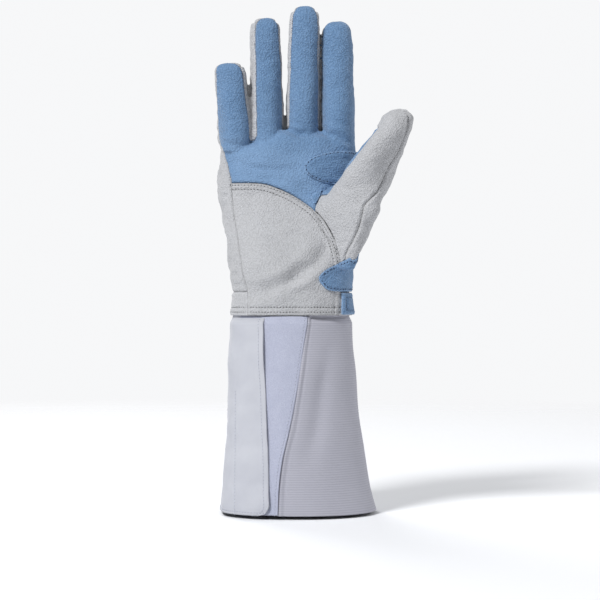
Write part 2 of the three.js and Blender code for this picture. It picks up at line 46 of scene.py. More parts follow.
# Lengths along the hand and the cuff
CUFF_LENGTH = 135
PALM_LENGTH = 125
THUMB_LENGTH = 98
HEM_HEIGHT = 16
HEM_LAP = 9
FINGER_LENGTHS = (80, 90, 81.5, 50)

# Widths and depths
MOUTH_WIDTH, MOUTH_DEPTH = 109, 97
WRIST_WIDTH, WRIST_DEPTH = 85, 70
PALM_WIDTH, PALM_DEPTH = 95, 48
FINGER_WIDTH, FINGER_DEPTH = 23.6, 38
THUMB_WIDTH, THUMB_REACH, THUMB_FORWARD = 33, 34, 19.5
FLAP_LAP, ELASTIC_LAP, FLAP_CORNER = 24, 9, 9

# Thicknesses
SUEDE = 1.2
PATCH = 1.1
CLOTH = 1.2
ELASTIC = 1.5
PILE = 0.9
PADDING = 2.4

FINGER_ROOT = CUFF_LENGTH + PALM_LENGTH
HEM_TOP = CUFF_LENGTH + HEM_HEIGHT


def table(names, *rows):
    """A table's columns by name."""
    return dict(zip(names.split(), np.array(rows, float).T))


HAND_ROWS = table(
    "rise taper left right front back",
    (-0.08, 1.0, -0.5, 0.505, -0.5, 0.508),
    (0.0, 1.0, -0.5, 0.505, -0.5, 0.508),
    (0.14, 1.0, -0.478, 0.486, -0.5, 0.503),
    (0.197, 0.9, -0.482, 0.482, -0.51, 0.497),
    (0.25, 0.8, -0.486, 0.478, -0.52, 0.535),
    (0.295, 0.72, -0.49, 0.472, -0.52, 0.55),
    (0.331, 0.65, -0.492, 0.468, -0.5, 0.54),
    (0.37, 0.58, -0.494, 0.464, -0.47, 0.585),
    (0.42, 0.5, -0.498, 0.459, -0.424, 0.605),
    (0.555, 0.25, -0.515, 0.469, -0.299, 0.693),
    (0.69, 0.0, -0.53, 0.472, -0.233, 0.758),
    (0.824, 0.0, -0.523, 0.484, -0.25, 0.729),
    (0.925, 0.0, -0.523, 0.479, -0.233, 0.645),
    (0.985, 0.0, -0.52, 0.472, -0.2, 0.62),
    (1.03, 0.0, -0.46, 0.42, -0.05, 0.48),
)
FINGER_ROWS = table(
    "rise width depth lean",
    (-0.22, 0.9, 0.85, 0.0),
    (0.0, 1.02, 1.0, 0.0),
    (0.12, 1.0, 0.97, 0.08),
    (0.32, 0.99, 0.88, 0.25),
    (0.5, 0.97, 0.75, 0.44),
    (0.68, 0.95, 0.59, 0.64),
    (0.85, 0.93, 0.5, 0.83),
    (0.94, 0.84, 0.4, 0.94),
    (0.985, 0.6, 0.27, 0.98),
    (1.0, 0.36, 0.14, 1.0),
)
FINGERS = table(
    "root tip root_deep tip_deep",
    (0.349, 0.335, 0.22, 0.02),
    (0.085, 0.1, 0.22, -0.11),
    (-0.177, -0.195, 0.21, -0.12),
    (-0.406, -0.448, 0.19, -0.17),
)
THUMB_ROWS = table(
    "rise out forward long short turn",
    (-0.08, -0.02, 0.1, 0.16, 0.08, -40),
    (0.0, 0.02, 0.22, 0.22, 0.13, -40),
    (0.11, 0.05, 0.09, 0.37, 0.25, -41),
    (0.22, 0.03, 0.0, 0.57, 0.3, -38),
    (0.335, 0.0, 0.0, 0.79, 0.3, -37),
    (0.45, 0.21, 0.05, 0.69, 0.42, -42),
    (0.56, 0.41, 0.28, 0.55, 0.5, -45),
    (0.665, 0.56, 0.57, 0.51, 0.475, -70),
    (0.77, 0.73, 0.81, 0.495, 0.425, -85),
    (0.885, 0.92, 0.98, 0.43, 0.35, -90),
    (0.955, 0.985, 1.0, 0.34, 0.31, -90),
    (1.0, 1.0, 1.0, 0.17, 0.16, -90),
)
WEB_ROWS = table(
    "rise out forward long short turn",
    (0.086, -0.194, -0.154, 0.06, 0.045, -38),
    (0.13, -0.224, -0.205, 0.15, 0.12, -38),
    (0.212, -0.253, -0.385, 0.27, 0.21, -38),
    (0.335, -0.268, -0.59, 0.364, 0.288, -37),
    (0.45, -0.224, -0.667, 0.303, 0.227, -37),
    (0.5, -0.135, -0.718, 0.18, 0.136, -37),
    (0.525, -0.106, -0.718, 0.06, 0.045, -37),
)
THUMB_ROOT = {"across": 0.406, "deep": -0.52, "rise": 0.325}
CUFF_ROWS = table(
    "rise flare_wide flare_deep shift_wide shift_deep",
    (0.0, 1.0, 1.0, 0.045, -0.022),
    (0.145, 0.75, 0.85, 0.029, -0.018),
    (0.31, 0.46, 0.69, 0.023, -0.018),
    (0.56, 0.23, 0.35, 0.01, -0.014),
    (0.73, 0.11, 0.21, 0.003, -0.01),
    (0.85, 0.03, 0.08, 0.0, -0.007),
    (1.0, 0.0, 0.0, 0.0, 0.0),
)

# The seams between the front of the hand and its back, and those of the fingers and the thumb
SEAM_ROWS = table(
    "rise ulnar radial",
    (-0.1, -0.315, 0.1),
    (0.14, -0.322, 0.105),
    (0.26, -0.358, 0.14),
    (0.45, -0.395, 0.195),
    (0.6, -0.427, 0.26),
    (0.74, -0.442, 0.31),
    (0.82, -0.47, 0.32),
    (0.93, -0.505, 0.325),
    (1.0, -0.51, 0.32),
)
FINGER_SEAM = {"back": 0.52, "radial": 0.26, "top": 0.975}
FINGER_FACES = table("ulnar radial", (-0.25, -0.8), (-0.62, -0.5), (-0.84, -0.42), (-0.3, -0.66))
WEB_FEET = (262, 264.5, 256.5)
THUMB_SEAMS = {"inner": 60, "foot": 112}
OUTER_SEAM = table(
    "rise turn",
    (-0.1, -150),
    (0.0, -122),
    (0.05, -98),
    (0.1, -80),
    (0.2, -64),
    (0.335, -58),
    (0.45, -53),
    (0.6, -50),
    (0.72, -45),
    (1.0, -48),
)
STRIP_TURN = table("rise turn", (0.4, 160), (0.5, 168), (0.58, 182), (0.68, 198), (0.9, 207))
STRIP_FOOT, STRIP_TOP = 0.44, 0.88
HEEL_EDGE = (
    (-0.8, 0.74),
    (-0.6, 0.738),
    (-0.437, 0.736),
    (-0.218, 0.73),
    (-0.094, 0.702),
    (0.03, 0.657),
    (0.146, 0.596),
    (0.24, 0.518),
    (0.308, 0.418),
    (0.352, 0.314),
    (0.36, 0.2),
)
TONGUE = {"across": 0.484, "rise": 0.82, "reach": 0.39, "height": 0.1}
TAB_EDGE = (
    (0.6, 0.43),
    (0.5, 0.365),
    (0.43, 0.32),
    (0.332, 0.28),
    (0.25, 0.248),
    (0.2, 0.205),
    (0.235, 0.157),
    (0.31, 0.133),
    (0.6, 0.131),
)
# Across the hand's depth and up: the side panel's edge against the thumb, seen from the side
THUMB_EDGE = (
    (-60, 140), (-45, 158), (-36, 169), (-31, 174.5), (-25, 181),
    (-18, 192), (-13.5, 206), (-10, 221), (-6, 230),
)
SIDE_FROM = 0.38
LEDGE_RISE = 0.915
WRIST_TAB = {"from": 0.36, "to": 0.14, "corner": 5.0, "spare": 0.5}
FLAP_EDGE = {"top": -0.42, "rim": -0.32}
FOLD_ROWS = table("rise across", (0, -0.256), (0.25, -0.19), (0.44, -0.06), (0.66, 0.09), (1, 0.27))
ELASTIC_EDGE = {"top": 0.168, "rim": 0.203}
FLAP_TURN = (188, 214)
ELASTIC_TURN = (12, 40)

# Folds on the palm side: points across and up, half width, and height, which is negative for a
# valley
FOLDS = (
    (((-26, 150), (-3, 156), (18, 172), (27, 186)), 4.5, -1.3),
    (((-22, 159), (-4, 166), (12, 181)), 4.0, 0.8),
    (((-8, 152), (12, 158), (26, 170)), 3.5, 0.7),
    (((-20, 190), (-6, 189), (4, 192)), 3.0, -0.5),
    (((-40, 172), (-22, 174)), 4.0, -0.4),
    (((-45, 242), (-25, 237), (2, 235)), 3.5, -0.7),
    (((-44, 234), (-22, 230), (-4, 229)), 3.0, -0.4),
    (((-50, 257), (-41, 253), (-31, 253)), 2.5, -0.7),
    (((-16, 252), (-2, 247), (12, 246)), 3.5, -0.4),
    (((-2, 264), (6, 261), (14, 262)), 2.4, -0.8),
    (((22, 262), (32, 260), (43, 254)), 2.2, -1.0),
)
FOLD_GAIN = 2.1
# Where the palm turns into the fingers' faces: across from the thumb's side, and height
FACE_FEET = ((-33, 262), (-20.6, 262), (4.6, 264), (27.7, 257), (42, 255))
SIDE_GAP = 0.4

# Rows of stitches, by distance from an edge or by height
HEEL_ROWS = (-1.4, -4.2)
HEM_ROWS = (CUFF_LENGTH + 2.3, CUFF_LENGTH + 5.7)
SIDE_ROW, TAB_ROW, FINGER_ROW = -1.6, -3.0, 1.3
FLAP_ROW, LEFT_ROW, RIM_ROW, LOOP_ROW, ELASTIC_ROW = 3.6, -38.0, 2.0, 2.0, 4.0

# The padding of the back and its quilting
PAD_FOOT = 175.7
PAD_SIDES = table("height share", (160, 0.86), (175, 0.84), (198, 0.74), (216, 0.64), (262, 0.5))
WRIST_LINE = {"height": 152, "rise": 5.5}
KNUCKLE_RISE = 0.485
LITTLE_DROP = 8
PAD_VOXEL, PAD_CAP, PAD_FRAMES = 3.5, 2.2, 20
PAD_CLOTH = {
    "quality": 5,
    "mass": 0.1,
    "tension_stiffness": 15,
    "compression_stiffness": 15,
    "shear_stiffness": 5,
    "bending_stiffness": 4,
    "use_pressure": True,
    "uniform_pressure_force": 3.0,
    "vertex_group_mass": "held",
    "shrink_min": -0.02,
}

# The cuff's cloth
RIB_PITCH = 1.6
FLAP_TUCK = 2.6
SHEET_TOP = CUFF_LENGTH + HEM_LAP
CUFF_RADIUS = 45

# The camera, in metres
CAMERA_AWAY, CAMERA_VIEW = 1.3, 0.42

HAND_SQUARE, FINGER_SQUARE, THUMB_SQUARE, CUFF_SQUARE = 2.6, 2.5, 2.2, 2.2
FINGER_SPARE = 0.35
VOXEL = 1.0


# Curves and forms

def smooth(xs, ys, at):
    """A smooth curve through a table's points, which never overshoots them."""
    steps = np.diff(xs)
    slopes = np.diff(ys) / steps
    both = slopes[:-1] * slopes[1:]
    total = slopes[:-1] + slopes[1:]
    tangents = np.zeros(len(xs))
    tangents[1:-1] = np.where(both > 0, 2 * both / np.where(both > 0, total, 1), 0)
    tangents[0], tangents[-1] = slopes[0], slopes[-1]
    at = np.clip(at, xs[0], xs[-1])
    k = np.clip(np.searchsorted(xs, at) - 1, 0, len(steps) - 1)
    t = (at - xs[k]) / steps[k]
    rise = ys[k] * (1 + 2 * t) * (1 - t) ** 2 + ys[k + 1] * t * t * (3 - 2 * t)
    return rise + steps[k] * t * (1 - t) * (tangents[k] * (1 - t) - tangents[k + 1] * t)


def rows_at(rows, rise):
    return {name: smooth(rows["rise"], column, rise) for name, column in rows.items()}


def mix(a, b, share):
    return a + (b - a) * share


def smoothstep(x, low, high):
    t = np.clip((x - low) / (high - low), 0, 1)
    return t * t * (3 - 2 * t)


def hump(x, width, middle=0):
    """A bell curve, 1 at its middle."""
    return np.exp(-(((x - middle) / width) ** 2))


def hand_sections(count=110):
    row = rows_at(HAND_ROWS, np.linspace(HAND_ROWS["rise"][0], HAND_ROWS["rise"][-1], count))
    width = mix(PALM_WIDTH, WRIST_WIDTH, row["taper"])
    depth = mix(PALM_DEPTH, WRIST_DEPTH, row["taper"])
    return {
        "x": (row["left"] + row["right"]) / 2 * width,
        "y": (row["front"] + row["back"]) / 2 * depth,
        "z": CUFF_LENGTH + row["rise"] * PALM_LENGTH,
        "long": (row["right"] - row["left"]) / 2 * width,
        "short": (row["back"] - row["front"]) / 2 * depth,
        "turn": np.zeros(count),
        "square": HAND_SQUARE,
    }


def finger_sections(i, count=80):
    row = rows_at(FINGER_ROWS, np.linspace(FINGER_ROWS["rise"][0], 1, count))
    return {
        "x": mix(FINGERS["root"][i], FINGERS["tip"][i], row["lean"]) * PALM_WIDTH,
        "y": mix(FINGERS["root_deep"][i], FINGERS["tip_deep"][i], row["lean"]) * PALM_DEPTH,
        "z": FINGER_ROOT + row["rise"] * FINGER_LENGTHS[i],
        "long": row["width"] * FINGER_WIDTH / 2 - FINGER_SPARE,
        "short": row["depth"] * FINGER_DEPTH / 2,
        "turn": np.zeros(count),
        "square": FINGER_SQUARE,
    }


def thumb_sections(rows, count):
    row = rows_at(rows, np.linspace(rows["rise"][0], rows["rise"][-1], count))
    return {
        "x": THUMB_ROOT["across"] * PALM_WIDTH + row["out"] * THUMB_REACH,
        "y": THUMB_ROOT["deep"] * PALM_DEPTH - row["forward"] * THUMB_FORWARD,
        "z": CUFF_LENGTH + THUMB_ROOT["rise"] * PALM_LENGTH + row["rise"] * THUMB_LENGTH,
        "long": row["long"] * THUMB_WIDTH,
        "short": row["short"] * THUMB_WIDTH,
        "turn": np.radians(row["turn"]),
        "square": THUMB_SQUARE,
    }


def cuff_section(z):
    """The cuff's section at heights below the hem, as arrays."""
    row = rows_at(CUFF_ROWS, z / CUFF_LENGTH)
    return {
        "x": row["shift_wide"] * MOUTH_WIDTH,
        "y": row["shift_deep"] * MOUTH_DEPTH,
        "long": mix(WRIST_WIDTH, MOUTH_WIDTH, row["flare_wide"]) / 2,
        "short": mix(WRIST_DEPTH, MOUTH_DEPTH, row["flare_deep"]) / 2,
    }


HAND = hand_sections()
DIGITS = [finger_sections(i) for i in range(len(FINGER_LENGTHS))]
THUMB = thumb_sections(THUMB_ROWS, 80)
WEB = thumb_sections(WEB_ROWS, 40)


def signed_power(x, power):
    return np.sign(x) * np.abs(x) ** power


def loft(section, sides=96):
    """Vertices and faces of a closed form through its sections."""
    angles = np.arange(sides) / sides * 2 * math.pi
    bend = 2 / section["square"]
    along = section["long"][:, None] * signed_power(np.cos(angles), bend)
    across = section["short"][:, None] * signed_power(np.sin(angles), bend)
    c, s = np.cos(section["turn"])[:, None], np.sin(section["turn"])[:, None]
    x = section["x"][:, None] + along * c - across * s
    y = section["y"][:, None] + along * s + across * c
    z = np.repeat(section["z"][:, None], sides, 1)
    count = len(section["z"])
    faces = []
    for k in range(count - 1):
        for i in range(sides):
            j = (i + 1) % sides
            faces.append((k * sides + i, k * sides + j, (k + 1) * sides + j, (k + 1) * sides + i))
    faces.append(tuple(reversed(range(sides))))
    faces.append(tuple(range((count - 1) * sides, count * sides)))
    return np.stack([x, y, z], -1).reshape(-1, 3), faces


def column(section, name, z):
    return np.interp(z, section["z"], section[name])


def from_centre(section, p):
    """How far points lie across and deep from a limb's centre line."""
    return p[:, 0] - column(section, "x", p[:, 2]), p[:, 1] - column(section, "y", p[:, 2])


def outside(section, points):
    """About how far points lie outside a limb, in millimetres."""
    z = points[:, 2]
    dx, dy = from_centre(section, points)
    c, s = np.cos(column(section, "turn", z)), np.sin(column(section, "turn", z))
    a = np.abs((dx * c + dy * s) / column(section, "long", z))
    b = np.abs((dy * c - dx * s) / column(section, "short", z))
    grown = np.maximum((a ** section["square"] + b ** section["square"]) ** (1 / section["square"]), 1e-6)
    reach = np.hypot(dx, dy)
    around = reach - reach / grown
    beyond = np.maximum(z - section["z"][-1], section["z"][0] - z)
    return np.where(beyond > 0, np.hypot(np.maximum(around, 0), beyond), around)


def soft_max(a, b, width=1.5):
    return (a + b + np.sqrt((a - b) ** 2 + width**2)) / 2


def polygon_distance(points, corners):
    """Signed distance of 2-D points to a closed outline, negative inside."""
    best = np.full(len(points), 1e9)
    inside = np.zeros(len(points), bool)
    for a, b in zip(corners, np.roll(corners, -1, 0)):
        edge, to = b - a, points - a
        t = np.clip((to @ edge) / max(edge @ edge, 1e-9), 0, 1)
        best = np.minimum(best, np.hypot(*(to - t[:, None] * edge).T))
        crosses = (a[1] > points[:, 1]) != (b[1] > points[:, 1])
        rise = b[1] - a[1] if b[1] != a[1] else 1e-9
        inside ^= crosses & (points[:, 0] < (b[0] - a[0]) * (points[:, 1] - a[1]) / rise + a[0])
    return np.where(inside, -best, best)


def spline(points, steps=8):
    """A smooth open curve through 2-D points."""
    p = np.array([points[0], *points, points[-1]], float)
    out = []
    for a, b, c, d in zip(p, p[1:], p[2:], p[3:]):
        for t in np.arange(steps) / steps:
            bow = (2 * a - 5 * b + 4 * c - d) * t * t + (3 * b - a - 3 * c + d) * t**3
            out.append(0.5 * (2 * b + (c - a) * t + bow))
    out.append(p[-1])
    return np.array(out)


def on_palm(rows):
    return [(across * PALM_WIDTH, CUFF_LENGTH + rise * PALM_LENGTH) for across, rise in rows]


def height_above(p, height):
    return p[:, 2] - height


# Regions of the hand: each is a number per point, negative inside

def thumb_region(p):
    hand = np.min([outside(HAND, p), *[outside(d, p) for d in DIGITS]], axis=0)
    return np.minimum(outside(THUMB, p), outside(WEB, p)) - hand


def front_region(p):
    x, y, z = p.T
    row = rows_at(SEAM_ROWS, (z - CUFF_LENGTH) / PALM_LENGTH)
    palm = soft_max(row["ulnar"] * PALM_WIDTH - x, y - row["radial"] * PALM_DEPTH)
    near = np.argmin([outside(d, p) for d in DIGITS], axis=0)
    finger = np.full(len(p), 1e3)
    for i, digit in enumerate(DIGITS):
        cx, cy = column(digit, "x", z), column(digit, "y", z)
        short = column(digit, "short", z)
        sideways = smoothstep((x - cx) / column(digit, "long", z), -0.6, 0.6)
        level = mix(FINGER_FACES["ulnar"][i], FINGER_FACES["radial"][i], sideways)
        face = y - (cy + level * short)
        if i == 0:
            side = np.maximum(cx - x, y - (cy + FINGER_SEAM["radial"] * short))
            face = np.minimum(face, side)
        finger = np.where(near == i, face, finger)
    feet = np.interp(-x, *zip(*FACE_FEET))
    return mix(palm, finger, smoothstep(z, feet - 4, feet + 2))


def strip_region(p, i):
    """The inner sides of two neighbouring fingers."""
    x, y, z = p.T
    first, second = DIGITS[i], DIGITS[i + 1]
    middle = (column(first, "x", z) + column(second, "x", z)) / 2
    own = [np.where(x > middle, column(first, n, z), column(second, n, z)) for n in ("y", "short")]
    face = np.where(x > middle, FINGER_FACES["ulnar"][i], FINGER_FACES["radial"][i + 1])
    tops = [FINGER_ROOT + FINGER_SEAM["top"] * FINGER_LENGTHS[k] for k in (i, i + 1)]
    top = np.where(x > middle, *tops)
    front = own[0] + face * own[1]
    back = own[0] + FINGER_SEAM["back"] * own[1]
    foot = WEB_FEET[i] + np.minimum(0.35 * (x - middle) ** 2, 6)
    field = soft_max(foot - z, z - top, 3)
    field = soft_max(soft_max(field, front - y), y - back)
    return np.maximum(field, np.maximum(x - column(first, "x", z), column(second, "x", z) - x))


def heel_region(p):
    edge = spline(on_palm(HEEL_EDGE))
    corners = np.vstack([edge, (edge[-1][0], 0), (edge[0][0], 0)])
    return polygon_distance(p[:, [0, 2]], corners)


def tongue_region(p):
    a = (p[:, 0] - TONGUE["across"] * PALM_WIDTH) / (TONGUE["reach"] * PALM_WIDTH)
    b = (p[:, 2] - CUFF_LENGTH - TONGUE["rise"] * PALM_LENGTH) / (TONGUE["height"] * PALM_LENGTH)
    grown = np.maximum(np.hypot(a, b), 1e-6)
    reach = np.hypot(a * TONGUE["reach"] * PALM_WIDTH, b * TONGUE["height"] * PALM_LENGTH)
    return reach - reach / grown


def side_region(p, thumb):
    """The side panel: its tab also lies over the thumb's foot, the rest only over the hand."""
    x, y, z = p.T
    radial = rows_at(SEAM_ROWS, (z - CUFF_LENGTH) / PALM_LENGTH)["radial"] * PALM_DEPTH
    rear = y - radial + SIDE_GAP
    tab = np.maximum(polygon_distance(p[:, [0, 2]], spline(on_palm(TAB_EDGE))), y)
    front = np.maximum(tongue_region(p), y)
    side = np.maximum(SIDE_FROM * PALM_WIDTH - x, rear)
    side = np.maximum(side, z - (CUFF_LENGTH + LEDGE_RISE * PALM_LENGTH))
    over_hand = np.maximum(np.minimum(front, side), -thumb)
    edge = spline(THUMB_EDGE)
    behind = (30, edge[-1][1]), (30, 100), (edge[0][0], 100)
    below = polygon_distance(p[:, [1, 2]], np.vstack([edge, behind]))
    inward = 40 - x - np.clip(z - 176, 0, 16) - np.clip(2 * (y + 27), 0, 20)
    foot = np.maximum(np.maximum(below, inward), rear)
    tab = np.maximum(tab, below - np.clip(43 - x, 1, 30))
    return np.maximum(np.minimum(np.minimum(over_hand, tab), foot), HEM_TOP + SIDE_GAP - z)


def wrist_tab_region(p):
    x, y, z = p.T
    corner = WRIST_TAB["corner"]
    flat = WRIST_TAB["to"] * PALM_DEPTH - corner
    up = np.abs(z - (CUFF_LENGTH + HEM_TOP) / 2) - HEM_HEIGHT / 2 + WRIST_TAB["spare"]
    rounded = np.hypot(np.maximum(y - flat, 0), np.maximum(up + corner, 0)) - corner
    return np.maximum(np.where(y > flat, rounded, up), WRIST_TAB["from"] * PALM_WIDTH - x)


def thumb_rise(p):
    return (p[:, 2] - CUFF_LENGTH - THUMB_ROOT["rise"] * PALM_LENGTH) / THUMB_LENGTH


def outer_turn(p):
    return np.radians(smooth(OUTER_SEAM["rise"], OUTER_SEAM["turn"], thumb_rise(p)))


def thumb_side(p, start, end):
    """The part of the thumb between two seam angles about its centre line."""
    dx, dy = from_centre(THUMB, p)
    a = outer_turn(p) if start is None else math.radians(start)
    b = math.radians(end) if end else np.radians(smooth(*STRIP_TURN.values(), thumb_rise(p)))
    return np.maximum(dx * np.sin(a) - dy * np.cos(a), dy * np.cos(b) - dx * np.sin(b))


def thumb_strip_region(p):
    rise = thumb_rise(p)
    beside = np.maximum(STRIP_FOOT - rise, rise - STRIP_TOP) * THUMB_LENGTH
    return np.maximum(thumb_side(p, THUMB_SEAMS["inner"], None), beside)


def thumb_back_region(p):
    low = np.maximum(thumb_side(p, None, THUMB_SEAMS["foot"]), (thumb_rise(p) - STRIP_FOOT) * THUMB_LENGTH)
    return np.minimum(thumb_side(p, None, THUMB_SEAMS["inner"]), low)


def heel_over_thumb(p):
    return np.maximum(heel_region(p), p[:, 1] + 8)


# Sheets of triangles that carry numbers per point, and what cuts them

def split(sheet, field):
    """Cuts a sheet along field = 0 and returns the part below it and the part above."""
    field = np.where(np.abs(field) < 0.02, 0.02, field)
    return half(sheet, field), half(sheet, -field)


def crossings(sheet, field):
    """The edges that the field crosses: their end points, shares, and each triangle's edge numbers."""
    tris = sheet["tris"]
    ends = np.sort(np.stack([tris, np.roll(tris, -1, 1)], -1), -1)
    flat = ends.reshape(-1, 2)
    crossed = (field[flat[:, 0]] < 0) != (field[flat[:, 1]] < 0)
    keys = flat[:, 0].astype(np.int64) * len(field) + flat[:, 1]
    unique, inverse = np.unique(keys[crossed], return_inverse=True)
    numbers = np.full(len(keys), -1)
    numbers[crossed] = inverse
    a, b = unique // len(field), unique % len(field)
    share = field[a] / (field[a] - field[b])
    return a, b, share, numbers.reshape(-1, 3)


def half(sheet, field):
    tris = sheet["tris"]
    below = field[tris] < 0
    a, b, share, numbers = crossings(sheet, field)
    first_new = len(field)
    points = {}
    for name, values in sheet["points"].items():
        weight = share[:, None] if values.ndim > 1 else share
        points[name] = np.concatenate([values, values[a] * (1 - weight) + values[b] * weight])
    kept = [tris[below.all(1)]]
    for lone in range(3):
        left, right = (lone + 1) % 3, (lone + 2) % 3
        one = below[:, lone] & ~below[:, left] & ~below[:, right]
        near = numbers[one][:, lone] + first_new
        away = numbers[one][:, right] + first_new
        kept.append(np.stack([tris[one][:, lone], near, away], -1))
        two = ~below[:, lone] & below[:, left] & below[:, right]
        near = numbers[two][:, lone] + first_new
        away = numbers[two][:, right] + first_new
        b1, c1 = tris[two][:, left], tris[two][:, right]
        kept.append(np.stack([near, b1, c1], -1))
        kept.append(np.stack([near, c1, away], -1))
    return tidy({"tris": np.concatenate(kept), "points": points})


def tidy(sheet):
    """Drops points that no triangle uses."""
    used, inverse = np.unique(sheet["tris"], return_inverse=True)
    points = {name: values[used] for name, values in sheet["points"].items()}
    return {"tris": inverse.reshape(-1, 3), "points": points}


def joined(first, second):
    shift = len(first["points"]["rest"])
    tris = np.concatenate([first["tris"], second["tris"] + shift])
    points = {n: np.concatenate([v, second["points"][n]]) for n, v in first["points"].items()}
    return {"tris": tris, "points": points}


def runs_of(kept):
    """The stretches of a row of yes and no that say yes."""
    turns = np.flatnonzero(np.diff(np.concatenate([[0], kept.astype(int), [0]])))
    return [slice(a, b) for a, b in turns.reshape(-1, 2)]


def linked(numbers):
    """Chains of edge numbers, through the triangles that two of them share."""
    links = {}
    for row in numbers[(numbers >= 0).sum(1) == 2]:
        m, n = row[row >= 0]
        links.setdefault(m, []).append(n)
        links.setdefault(n, []).append(m)
    lines, seen = [], set()
    for start in [k for k in links if len(links[k]) == 1] + list(links):
        if start in seen:
            continue
        line, onward = [], [start]
        while onward:
            line.append(onward[0])
            seen.add(onward[0])
            onward = [k for k in links[onward[0]] if k not in seen]
        lines.append(np.array(line))
    return lines


def contour(sheet, field, least=6.0, keep=None):
    """Lines on a sheet along field = 0 where keep is above 0, each a dict of place and normal."""
    a, b, share, numbers = crossings(sheet, field)
    out = []
    for line in linked(numbers):
        t = share[line][:, None]
        found = {}
        for name in ("place", "normal"):
            values = sheet["points"][name]
            found[name] = values[a[line]] * (1 - t) + values[b[line]] * t
        kept = np.ones(len(line))
        if keep is not None:
            kept = keep[a[line]] * (1 - t[:, 0]) + keep[b[line]] * t[:, 0]
        for run in runs_of(kept > 0):
            part = {name: values[run] for name, values in found.items()}
            length = np.linalg.norm(np.diff(part["place"], axis=0), axis=1).sum()
            if len(part["place"]) > 2 and length > least:
                out.append(part)
    return out


def rim_points(sheet):
    """The rest places along a sheet's open edges."""
    tris = sheet["tris"]
    base = tris.max() + 1
    edges = np.sort(np.concatenate([tris[:, [0, 1]], tris[:, [1, 2]], tris[:, [2, 0]]]), 1)
    keys, counts = np.unique(edges[:, 0].astype(np.int64) * base + edges[:, 1], return_counts=True)
    lone = keys[counts == 1]
    return sheet["points"]["rest"][np.unique(np.concatenate([lone // base, lone % base]))]


def place_tree(places):
    tree = kdtree.KDTree(len(places))
    for i, place in enumerate(places):
        tree.insert(place, i)
    tree.balance()
    return tree


def distance_to(places, points, far=30.0):
    """Distance from points to the nearest of some places."""
    tree = place_tree(places)
    return np.minimum(np.array([tree.find(p)[2] for p in points]), far)


def neighbours_mean(values, edges, count):
    total = np.zeros_like(values)
    for k in range(values.shape[1]):
        total[:, k] += np.bincount(edges[:, 0], values[edges[:, 1], k], count)
        total[:, k] += np.bincount(edges[:, 1], values[edges[:, 0], k], count)
    shared = np.bincount(edges[:, 0], minlength=count) + np.bincount(edges[:, 1], minlength=count)
    return total / np.maximum(shared, 1)[:, None]


def point_normals(places, tris):
    a, b, c = (places[tris[:, k]] for k in range(3))
    faces = np.cross(b - a, c - a)
    normals = np.zeros_like(places)
    for k in range(3):
        for axis in range(3):
            normals[:, axis] += np.bincount(tris[:, k], faces[:, axis], len(places))
    return normals / np.maximum(np.linalg.norm(normals, axis=1), 1e-9)[:, None]


def ripple(points, wave, seed, stretch=(1, 1, 1)):
    """Soft random dents about so long, between about -1 and 1."""
    rng = np.random.default_rng(seed)
    total = np.zeros(len(points))
    for _ in range(14):
        way = rng.normal(size=3)
        way *= rng.uniform(0.6, 1.5) / np.linalg.norm(way) / wave * 2 * math.pi
        total += np.sin(points @ (way / np.array(stretch)) + rng.uniform(0, 2 * math.pi))
    return total / 3.8


# Meshes and objects

def new_object(name, places, edges, faces):
    """An object of a new mesh, from places in millimetres."""
    mesh = bpy.data.meshes.new(name)
    mesh.from_pydata((np.asarray(places) * MM).tolist(), edges, faces)
    made = bpy.data.objects.new(name, mesh)
    bpy.context.collection.objects.link(made)
    return made


def evaluated(made):
    return made.evaluated_get(bpy.context.evaluated_depsgraph_get())


def remeshed(form, size):
    """A mesh of even faces over an object's form."""
    remesh = form.modifiers.new("remesh", "REMESH")
    remesh.mode = "VOXEL"
    remesh.voxel_size = size * MM
    made = bpy.data.meshes.new_from_object(evaluated(form))
    form.modifiers.remove(remesh)
    return made


def numbers_of(items, name, width, kind=float):
    """The numbers of a mesh's items, a row for each."""
    out = np.empty(len(items) * width, kind)
    items.foreach_get(name, out)
    return out.reshape(-1, width)


def drop_meshes(*meshes):
    for old in meshes:
        bpy.data.meshes.remove(old)


def mesh_object(name, places, faces, material):
    made = new_object(name, places, [], np.asarray(faces).tolist())
    made.data.materials.append(material)
    made.data.shade_smooth()
    return made


def apply_modifiers(made):
    old, made.data = made.data, bpy.data.meshes.new_from_object(evaluated(made))
    made.modifiers.clear()
    drop_meshes(old)
    made.data.name = made.name


def thicken(made, thickness):
    """Gives a sheet its wall, inwards from its outer face."""
    solid = made.modifiers.new("wall", "SOLIDIFY")
    solid.thickness = thickness * MM
    solid.offset = -1
    solid.use_even_offset = False
    apply_modifiers(made)


def clean_sheet(made):
    """Merges doubled points and drops the slivers that a cut leaves."""
    work = bmesh.new()
    work.from_mesh(made.data)
    bmesh.ops.remove_doubles(work, verts=work.verts, dist=0.06 * MM)
    bmesh.ops.dissolve_degenerate(work, edges=work.edges, dist=0.02 * MM)
    loose = [v for v in work.verts if not v.link_faces]
    bmesh.ops.delete(work, geom=loose, context="VERTS")
    work.to_mesh(made.data)
    work.free()
    made.data.shade_smooth()


def finish_piece(made, slot, *nodes):
    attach(made, "root")
    if nodes:
        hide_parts(*nodes)


def suede_piece(name, sheet, slot, thickness=SUEDE):
    """A cut panel as a piece of leather with its thickness."""
    points = sheet["points"]
    made = mesh_object(name + "_suede", points["place"], sheet["tris"], SUEDES[slot])
    for label in ("edge", "seam"):
        attribute = made.data.attributes.new(label, "FLOAT", "POINT")
        attribute.data.foreach_set("value", np.asarray(points[label], np.float32))
    clean_sheet(made)
    thicken(made, thickness)
    finish_piece(made, slot, name)
    return made


# The whole hand as one skin

